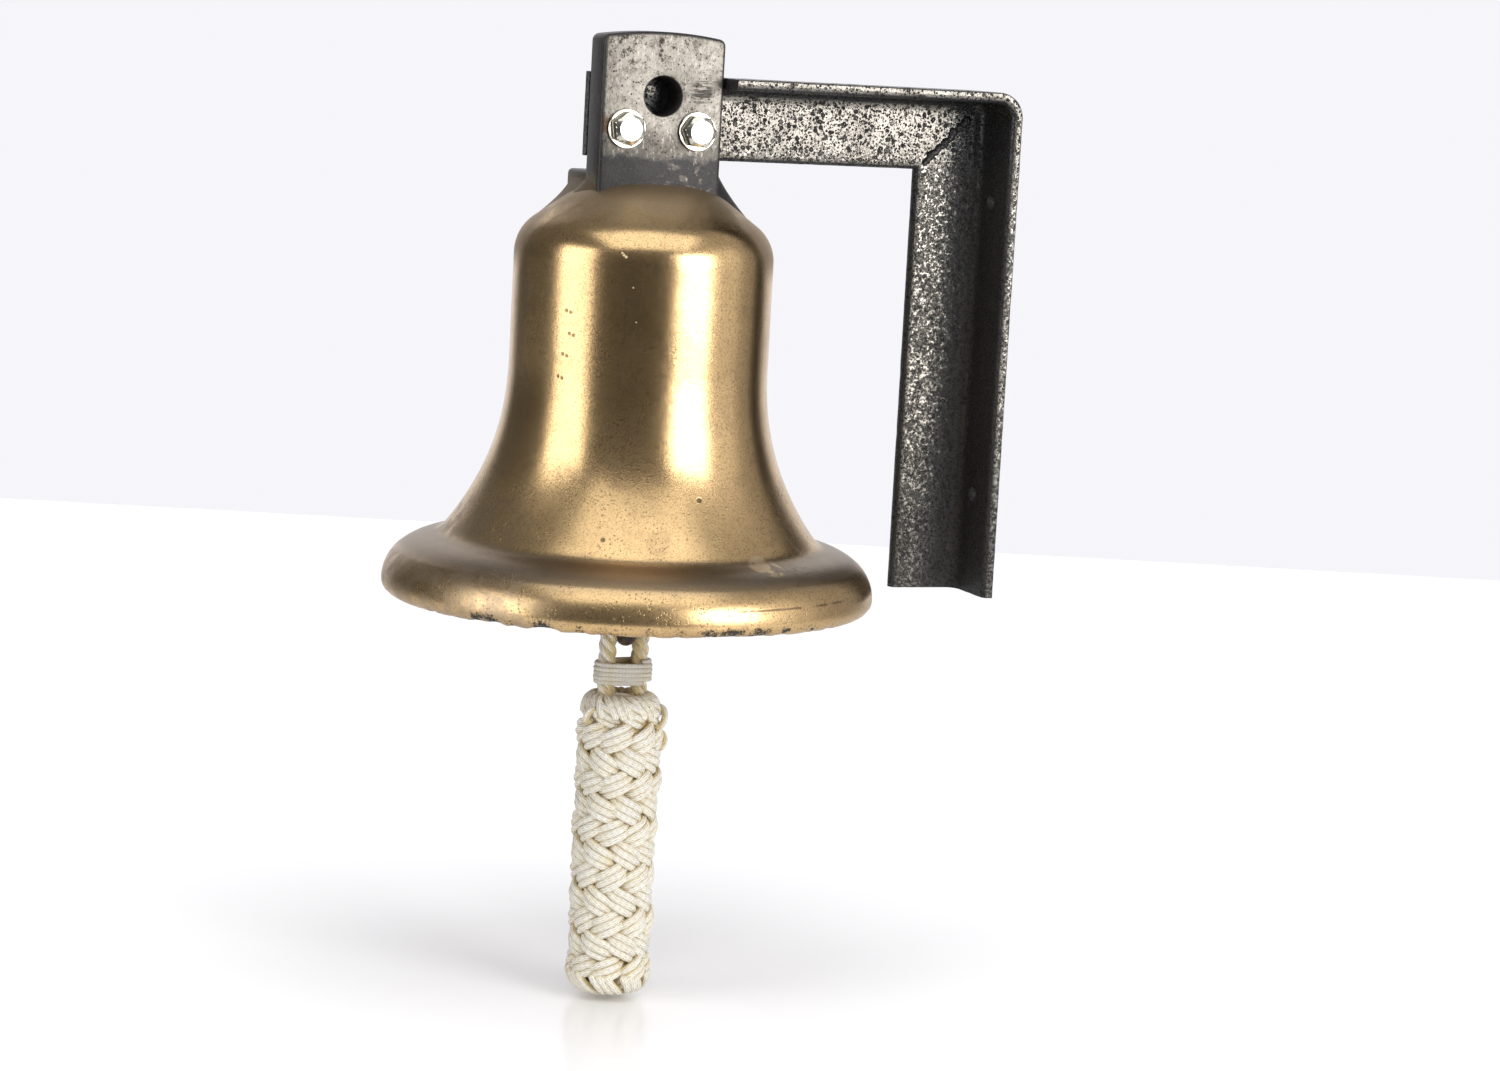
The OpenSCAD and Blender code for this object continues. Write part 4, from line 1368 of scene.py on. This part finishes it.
def threaded_rod(radius, low, high, columns=24, per_turn=8):
    """A rod along Z with a screw thread, tapered in at its lower end."""
    count = int((high - low) / THREAD_PITCH * per_turn)
    heights = np.linspace(low, high, count + 1)[:, None]
    angles = round_turn(columns)[None, :]
    phase = (heights / THREAD_PITCH + angles / (2 * math.pi)) % 1.0
    depth = THREAD_DEPTH * (1 - np.abs(2 * phase - 1))
    taper = np.clip((heights - low) / 1.2, 0.0, 1.0)
    points = polar((radius - depth) * (0.82 + 0.18 * taper), angles, heights)
    low_end, high_end = (np.zeros((1, columns, 3)) + [0, 0, z] for z in (low, high))
    points = np.concatenate([low_end, points, high_end])
    return points.reshape(-1, 3), strip_quads(len(points), columns)


def washer_rows(hole_r, outer_r, thickness, edge=0.35):
    return lathe([
        (hole_r, edge), (hole_r + edge, 0), (outer_r - edge, 0), (outer_r, edge),
        (outer_r, thickness - edge), (outer_r - edge, thickness), (hole_r + edge, thickness),
        (hole_r, thickness - edge), (hole_r, edge),
    ], 72)


print("drew heads, threads and washers")

# %% [markdown]
# ## Both bolts
# Each bolt has its head in front, a washer on either side and a nut behind. The pieces are
# drawn along Z and then laid along the bolt's axis. Each head and nut stopped at an angle of
# its own when it was tightened.

# %% Set the fasteners on their axes


def on_bolt_axis(side, y, turn_deg, strip):
    """Turns a piece drawn along Z so that Z runs forward, and sets it on a bolt's axis."""
    points = np.asarray(strip[0], float).reshape(-1, 3)
    spin = math.radians(turn_deg)
    x = points[:, 0] * math.cos(spin) - points[:, 1] * math.sin(spin)
    z = points[:, 0] * math.sin(spin) + points[:, 1] * math.cos(spin)
    placed = np.stack([x + side * BOLT_PITCH / 2, y - points[:, 2], z + BOLT_Z], -1)
    return at_bell(placed), strip[1]


def fastener(side, name, node, y, turn_deg, angle, *strips):
    """One plated piece on a bolt's axis, shaded flat where it bends by more than angle."""
    placed = [on_bolt_axis(side, y, turn_deg, strip) for strip in strips]
    settle(make_piece(name, placed, [bright_zinc], angle), "bell_and_bracket", "zinc", node)


rear_washer_y = LUG_BACK_Y + ANGLE_T + WASHER_T
bolt_strips = (
    hex_block(HEX_AF, HEAD_H, 0.0, False, True), threaded_rod(BOLT_R - 0.02, -BOLT_LEN, 0.0)
)
washer_strip = washer_rows(BOLT_HOLE_R, WASHER_R, WASHER_T)
nut_strip = hex_block(HEX_AF, NUT_H, BOLT_R + 0.05, True, False)
for side, word, head_turn, nut_turn in ((-1, "left", 8, 14), (1, "right", 24, -6)):
    head_y = LUG_FRONT_Y - WASHER_T
    fastener(side, f"{word}_hex_bolt", f"{word}_bolt", head_y, head_turn, 22, *bolt_strips)
    for where, y in (("front", LUG_FRONT_Y), ("rear", rear_washer_y)):
        name, node = f"{word}_{where}_flat_washer", f"{word}_{where}_washer"
        fastener(side, name, node, y, 0, 40, washer_strip)
    nut_y = rear_washer_y + NUT_H
    fastener(side, f"{word}_hex_nut", f"{word}_nut", nut_y, nut_turn, 22, nut_strip)
print("two bolts hold the lug to the web")

# %% [markdown]
# ## Forged iron inside the bell
# The clapper and its fittings were forged by hand and hang in the dark, brown with old oil and
# rust. These pieces are exact shapes already, so they keep the frame's meshes and only take a
# finish.

# %% Make the iron and dress the fittings


def forged_iron():
    iron = Finish("forged_iron", (0.06, 0.05, 0.045), 0.55, 0.6)
    scale_marks, grain = iron.clouds(8, 5.0, 0.62, 0.5), iron.clouds(1.4, 4.0, 0.7)
    rust = iron.ramp(scale_marks, 0.48, 0.66)
    colour = iron.blend(rust, (0.055, 0.048, 0.044), (0.115, 0.055, 0.028))
    colour = iron.laid(colour, (0.02, 0.016, 0.014), iron.ramp(grain, 0.55, 0.7), 0.6)
    iron.wear(
        Base_Color=colour, Metallic=iron.scaled(rust, 0.75, 0.15),
        Roughness=iron.scaled(grain, 0.4, 0.7),
    )
    iron.bumps((scale_marks, 0.4, 0.6), (grain, 0.12, 0.8))
    return iron.material


dark_iron = forged_iron()
for material, node_names in (
    (dark_iron, ("crown_staple", "staple_washer", "staple_nut", "clapper_rod", "clapper_ball")),
    (pin_steel, ("clapper_pin", "pin_washer")),
    (bright_zinc, ("split_pin",)),
):
    for node_name in node_names:
        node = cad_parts[node_name]
        node.data.materials.clear()
        node.data.materials.append(material)
    print(", ".join(node_names), "now wear", material.name)

# %% [markdown]
# ## White braided cord
# The rope is plaited from a smooth white cord, itself a hollow braid of fine yarns. It has a
# silky gloss on the rounds, and painted shade turns it yellow in the crevices. Two crossed
# waves that follow the cord make the braid's little diamonds.

# %% Make the cord's material


def cord_cotton():
    cord = Finish(
        "cord_cotton", (0.78, 0.71, 0.55), 0.5, Sheen_Weight=0.45, Sheen_Roughness=0.4
    )
    lay = cord.add("Attribute", {"attribute_name": "lay"}).outputs["Vector"]
    along, around, shade = cord.add("SeparateXYZ", None, lay).outputs
    braid = []
    for lean in (-5.0, 5.0):
        slant = cord.plus(cord.times(along, 2.4), cord.times(around, lean))
        wave = cord.maths("SINE", cord.times(slant, 2 * math.pi))
        braid.append(cord.add("Math", {"operation": "MULTIPLY_ADD"}, wave, 0.5, 0.5).outputs[0])
    yarns = cord.most(*braid)
    dirt = cord.clouds(9, 4.0, 0.6)
    cream = cord.blend(cord.ramp(dirt, 0.35, 0.7), (0.97, 0.945, 0.86), (0.95, 0.89, 0.73))
    # Painted shade: yellow where the cord dives under its neighbours or faces the core
    crevice_shade = cord.ramp(cord.rest_of(shade), 0.03, 0.46)
    colour = cord.laid(cream, (0.66, 0.50, 0.19), crevice_shade, 0.85)
    colour = cord.laid(colour, (0.68, 0.54, 0.26), cord.ramp(yarns, 0.55, 0.1), 0.5)
    cord.wear(Base_Color=colour, Roughness=cord.scaled(dirt, 0.40, 0.58))
    cord.bumps((yarns, 0.6, 1.0), (cord.clouds(0.8, 2.0), 0.12, 0.7))
    return cord.material


white_cord = cord_cotton()
print("made", white_cord.name)

# %% [markdown]
# ## Cords that know their own length
# The braid has to follow each cord however it bends, so every point of a cord carries three
# numbers: how far along it lies, how far round, and how bright it should be, which falls where
# the cord dives under its neighbours.

# %% Build the cord helper


def spread_to(values, count):
    """One value per ring of a tube, with the first and last repeated over its domes."""
    values = np.broadcast_to(np.asarray(values, float), (count,))
    return np.concatenate([[values[0]] * 2, values, [values[-1]] * 2])


class CordWork:
    """Collects cords of one piece, drawn in millimetres from the middle of the bell's mouth."""

    def __init__(self, core_low=-1e3, core_high=1e3):
        self.core_low, self.core_high = core_low, core_high
        self.strips, self.lay = [], []

    def cord(self, path, radius, shade=1.0, sides=12):
        path = np.asarray(path, float)
        points, faces = tube(path, radius, sides)
        run = spread_to(run_along(path), len(path)) / (2 * math.pi * radius)
        shade = spread_to(shade, len(path))
        around = np.abs(np.linspace(0, 2, sides, endpoint=False) - 1)
        offset = random.random()
        # A cord is brightest where it faces away from the core
        rings = points.reshape(len(run), sides, 3)
        middle = rings.mean(axis=1)
        outward = middle.copy()
        outward[:, 2] -= np.clip(middle[:, 2], self.core_low, self.core_high)
        outward /= np.linalg.norm(outward, axis=1, keepdims=True)
        facing = ((rings - middle[:, None]) * outward[:, None]).sum(-1) / radius
        open_side = 0.50 + 0.50 * np.clip((facing - 0.05) / 0.65, 0, 1)
        numbers = (run[:, None] + offset, around[None, :], shade[:, None] * open_side)
        self.add((points, faces), np.stack(np.broadcast_arrays(*numbers), -1))

    def add(self, strip, lay):
        self.strips.append((at_bell(strip[0]), strip[1]))
        self.lay.append(lay.reshape(-1, 3))

    def build(self, name, node):
        """Makes one piece of all the cords, in place of a node of the frame."""
        piece = make_piece(name, self.strips, [white_cord])
        attribute = piece.data.attributes.new("lay", "FLOAT_VECTOR", "POINT")
        attribute.data.foreach_set("vector", np.concatenate(self.lay).ravel())
        settle(piece, "lanyard", "cotton_cord", node)


print("cords are ready to be laid")

# %% [markdown]
# ## The plaited body
# The grip is an alternate crown sennit: eight doubled strands laid round in a ring, each over the
# next, one ring leaning left and the next leaning right. Each stitch here is three cords side
# by side on a short curve that rises out of the core, runs slanting over it and dives back in.

# %% Plait the sennit
SENNIT_R, SENNIT_LEN, TAIL_Z, NECK_LEN = 25.0, 168.0, -22.0, 29.0
SENNIT_TOP = TAIL_Z - NECK_LEN
SENNIT_END = SENNIT_TOP - SENNIT_LEN
TIERS, STRANDS, CORD_R, CORE_ROUND = 12, 8, 2.25, 22.0
STITCH_LEN, STITCH_LEAN, STITCH_SIDE, STITCH_SINK = 27.0, math.radians(27), 4.1, 8.5
LANES = (-1, 0, 1)
random.seed(23)


def stitch(work, angle, z, lean, reach_r, scale):
    """Three cords side by side that rise, cross the surface and dive."""
    share = np.linspace(0, 1, 18)
    arch = np.sin(math.pi * share) ** 0.55
    wobble = random.uniform(-0.6, 0.6)
    for lane in LANES:
        side = lane * STITCH_SIDE * scale * (0.72 + 0.28 * arch)
        run = (share - 0.5) * STITCH_LEN * scale
        arc_run = run * math.cos(lean) - side * math.sin(lean)
        rise = run * math.sin(lean) + side * math.cos(lean)
        lift = reach_r - CORD_R - (1 - arch) * STITCH_SINK - 0.55 * abs(lane)
        lift = lift + random.uniform(-0.35, 0.1) + wobble * 0.2 * lane
        path = polar(lift, angle + arc_run / (reach_r - 2.0), z + wobble + rise)
        # Painted shade where the stitch dives into the core
        work.cord(path, CORD_R * scale, 0.35 + 0.65 * arch, 10)


sennit = CordWork(SENNIT_END + CORE_ROUND, SENNIT_TOP - CORE_ROUND)
tier_gap = (SENNIT_LEN - 26.0) / (TIERS - 1)
for tier in range(TIERS):
    z = SENNIT_TOP - 11.0 - tier * tier_gap
    lean = STITCH_LEAN if tier % 2 else -STITCH_LEAN
    near_top = 1.0 if tier else 0.93
    for strand in range(STRANDS):
        angle = 2 * math.pi * (strand + 0.5 * (tier % 2)) / STRANDS + random.uniform(-0.05, 0.05)
        reach_r = (SENNIT_R - 0.6) * near_top + random.uniform(-1.0, 0.4)
        stitch(sennit, angle, z, lean + random.uniform(-0.09, 0.09), reach_r, near_top)
print("plaited", TIERS * STRANDS, "stitches")

# %% [markdown]
# ## The two ends of the grip
# At the bottom the strands turn in over the edge like petals and leave a dark pit in the
# middle, darkened further by painted shade as they dive. At the top the first ring closes round
# the doubled cords of the neck. A core fills the middle, so no light shows between stitches,
# and it wears the full painted shade of the crevices.

# %% Close the grip's ends
PETALS = 8
SEAT_R = SENNIT_R - CORD_R


def petal(work, angle, twist, outer_r, inner_r, z_end, inward):
    """Three cords that turn in over an end. inward is 1 at the bottom and -1 at the top."""
    share = np.linspace(0, 1, 16)
    bend = share * math.pi * 0.62
    r = inner_r + (outer_r - inner_r) * np.cos(bend * 0.8) ** 0.9
    for lane in LANES:
        sink = 9.0 * (1 - np.sin(np.clip(bend * 1.25, 0, math.pi / 2)))
        sink = sink + 34.0 * np.clip(share - 0.86 + 0.15 * abs(lane), 0, 1)
        theta = angle + twist * share + lane * STITCH_SIDE / np.maximum(r, 9.0)
        path = polar(r, theta, z_end + inward * (CORD_R + sink))
        # Painted shade deepens as the cords turn in
        work.cord(path, CORD_R, 1.0 - 0.75 * share**2.2, 10)


for number in range(PETALS):
    turn_by = 2 * math.pi * (number + 0.3) / PETALS
    petal(sennit, turn_by, 0.65, SEAT_R - 0.9, 5.5, SENNIT_END + 0.3, 1)
    petal(sennit, turn_by + 0.3, -0.55, SEAT_R - 2.4, 8.0, SENNIT_TOP - 0.6, -1)
core_rows = [(0.05, 9), (8, 8), (15.5, 12), (17.5, 22)]
core_rows = [(r, SENNIT_END + rise) for r, rise in core_rows]
core_rows += [(17.8, z) for z in np.linspace(SENNIT_END + 30, SENNIT_TOP - 14, 12)]
core_rows += [(15.5, SENNIT_TOP - 7), (10, SENNIT_TOP - 3), (0.05, SENNIT_TOP - 2)]
core = lathe(core_rows, 32)
core_lay = np.zeros((len(core_rows) * 32, 3))
# The core wears the full painted shade of the crevices
core_lay[:, 2] = 0.05
sennit.add(core, core_lay)
# A few bights stand off the top, where the plait was drawn up unevenly
for angle, height, size in (
    (-0.55, -13, 5.0), (-0.25, -27, 4.2), (-2.75, -12, 3.6), (1.4, -16, 4.5)
):
    swing = np.linspace(-0.2 * math.pi, 1.2 * math.pi, 20)
    r = SENNIT_R - 3.2 + 3.0 * np.clip(np.sin(swing), -0.6, 1)
    theta = angle + size * np.cos(swing) * 0.45 / SENNIT_R
    bight = polar(r, theta, SENNIT_TOP + height + size * np.cos(swing))
    sennit.cord(bight, CORD_R * 0.85, 0.9, 10)
sennit.build("plaited_grip", "lanyard_sennit")

# %% [markdown]
# ## The neck and its binding
# The neck is the doubled cord that goes over the clapper's tail eye. Each leg is three thin
# cords twisted together, so each is a helix about the leg's own line. A thin cord is wound
# round both legs to bind them.

# %% Twist the neck
LOOP_R, LEG_R, SEIZING_H, SEIZING_T = 9.4, 5.0, 15.0, 1.6
NECK_STRANDS, TWIST_MM, ACROSS = 3, 21.0, np.array([0.0, 1.0, 0.0])


def leg_line():
    """Up one leg, over the tail eye's bar and down the other."""
    foot = SENNIT_TOP - 4.0
    leg = np.stack([np.full(14, -LOOP_R), np.linspace(foot, TAIL_Z, 14)], -1)
    over = arc(0, TAIL_Z, LOOP_R, 180, 0, 24)
    flat = np.concatenate([leg[:-1], over, leg[::-1][1:] * [-1, 1]])
    return np.stack([flat[:, 0], np.zeros(len(flat)), flat[:, 1]], -1)


neck = CordWork()
neck_length = run_along(leg_line())[-1]
line = resampled(leg_line(), 150)
sideways = np.cross(tangents(line), ACROSS)
for strand in range(NECK_STRANDS):
    twist = strand / NECK_STRANDS + np.linspace(0, neck_length / TWIST_MM, len(line))
    phase = 2 * math.pi * twist[:, None]
    path = line + LEG_R * 0.5 * (np.cos(phase) * sideways + np.sin(phase) * ACROSS)
    neck.cord(path, LEG_R * 0.5, 0.9)
neck.build("neck_cords", "lanyard_eye")

# %% [markdown]
# ## The seizing
# The thin cord runs round both legs in an oval and climbs a cord's width with each turn. It
# swells a little between the legs, and its first and last turns are tucked in.

# %% Wind the seizing
SEIZING_TURNS, PER_TURN = 5, 64


def round_both_legs(share, reach):
    """A point on the oval round the two legs, a share of the way round it."""
    straight, bend = 2 * LOOP_R, math.pi * reach
    half = straight + bend
    walk = (share % 1.0) * 2 * half
    side = 1 if walk < half else -1
    walk %= half
    if walk < straight:
        return side * (LOOP_R - walk), -side * reach
    turned = (walk - straight) / reach
    return -side * (LOOP_R + reach * math.sin(turned)), -side * reach * math.cos(turned)


seizing = CordWork()
seizing_low = SENNIT_TOP + 2 * SEIZING_T
cord_r = SEIZING_H / (SEIZING_TURNS + 1) / 2 * 1.08
path = []
for step in range(SEIZING_TURNS * PER_TURN + 1):
    turn_by = step / PER_TURN
    slack = 0.35 * noise.noise(Vector((turn_by * 3.1, 0.0, 4.0)))
    tuck = 0.8 * abs(2 * turn_by / SEIZING_TURNS - 1) ** 3
    x, y = round_both_legs(turn_by, LEG_R + cord_r * 0.85 + slack - tuck)
    if abs(x) < LOOP_R:
        y *= 1 + 0.14 * math.cos(math.pi * x / (2 * LOOP_R))
    rise = turn_by / SEIZING_TURNS * (SEIZING_H - 2 * cord_r)
    path.append((x, y, seizing_low + cord_r + rise + 0.3 * slack))
seizing.cord(path, cord_r, 0.95)
seizing.build("wound_seizing", "lanyard_seizing")

# %% [markdown]
# ## The floor
# The bell hangs from its wall, so the floor lies just clear of the rope's end. It is white, with
# a faint gloss and a soft shadow, as the photographer's table has.

# %% Lay the floor
FLOOR_GAP, FLOOR_HALF, FLOOR_FRONT, FLOOR_BACK, FLOOR_TURN = 0.004, 3.2, -0.8, 1.9, -21.5
floor_z = cad_low.z - FLOOR_GAP
floor_paint = Finish(
    "white_floor", (1.0, 1.0, 1.0), 0.22, Specular_IOR_Level=0.35,
    Emission_Color=(1.0, 1.0, 1.0, 1.0),
)
away = floor_paint.near((0.0, -AXIS_Y / MM, (floor_z - MOUTH_Z) / MM), 100, 550)
camera_ray = floor_paint.add("LightPath").outputs["Is Camera Ray"]
floor_paint.wear(
    Emission_Strength=floor_paint.times(floor_paint.scaled(away, 0.34, 0.04), camera_ray)
)
# Seen from below, the floor lets the view through
clear = floor_paint.add("BsdfTransparent").outputs[0]
behind = floor_paint.add("NewGeometry").outputs["Backfacing"]
either = floor_paint.add("MixShader", None, behind, floor_paint.shader.outputs[0], clear)
floor_paint.fill(
    floor_paint.tree.nodes["Material Output"].inputs["Surface"], either.outputs[0]
)
floor_turn = Matrix.Rotation(math.radians(FLOOR_TURN), 3, "Z")
floor_corners = [
    tuple(Vector((AXIS_X, 0, floor_z)) + floor_turn @ Vector((x, y, 0)))
    for x, y in (
        (-FLOOR_HALF, FLOOR_FRONT), (FLOOR_HALF, FLOOR_FRONT),
        (FLOOR_HALF, FLOOR_BACK), (-FLOOR_HALF, FLOOR_BACK),
    )
]
floor_mesh = bpy.data.meshes.new("floor")
floor_mesh.from_pydata(floor_corners, [], [(0, 1, 2, 3)])
floor_mesh.materials.append(floor_paint.material)
floor = bpy.data.objects.new("floor", floor_mesh)
bpy.context.scene.collection.objects.link(floor)
print("the floor lies at", round(floor_z, 4))
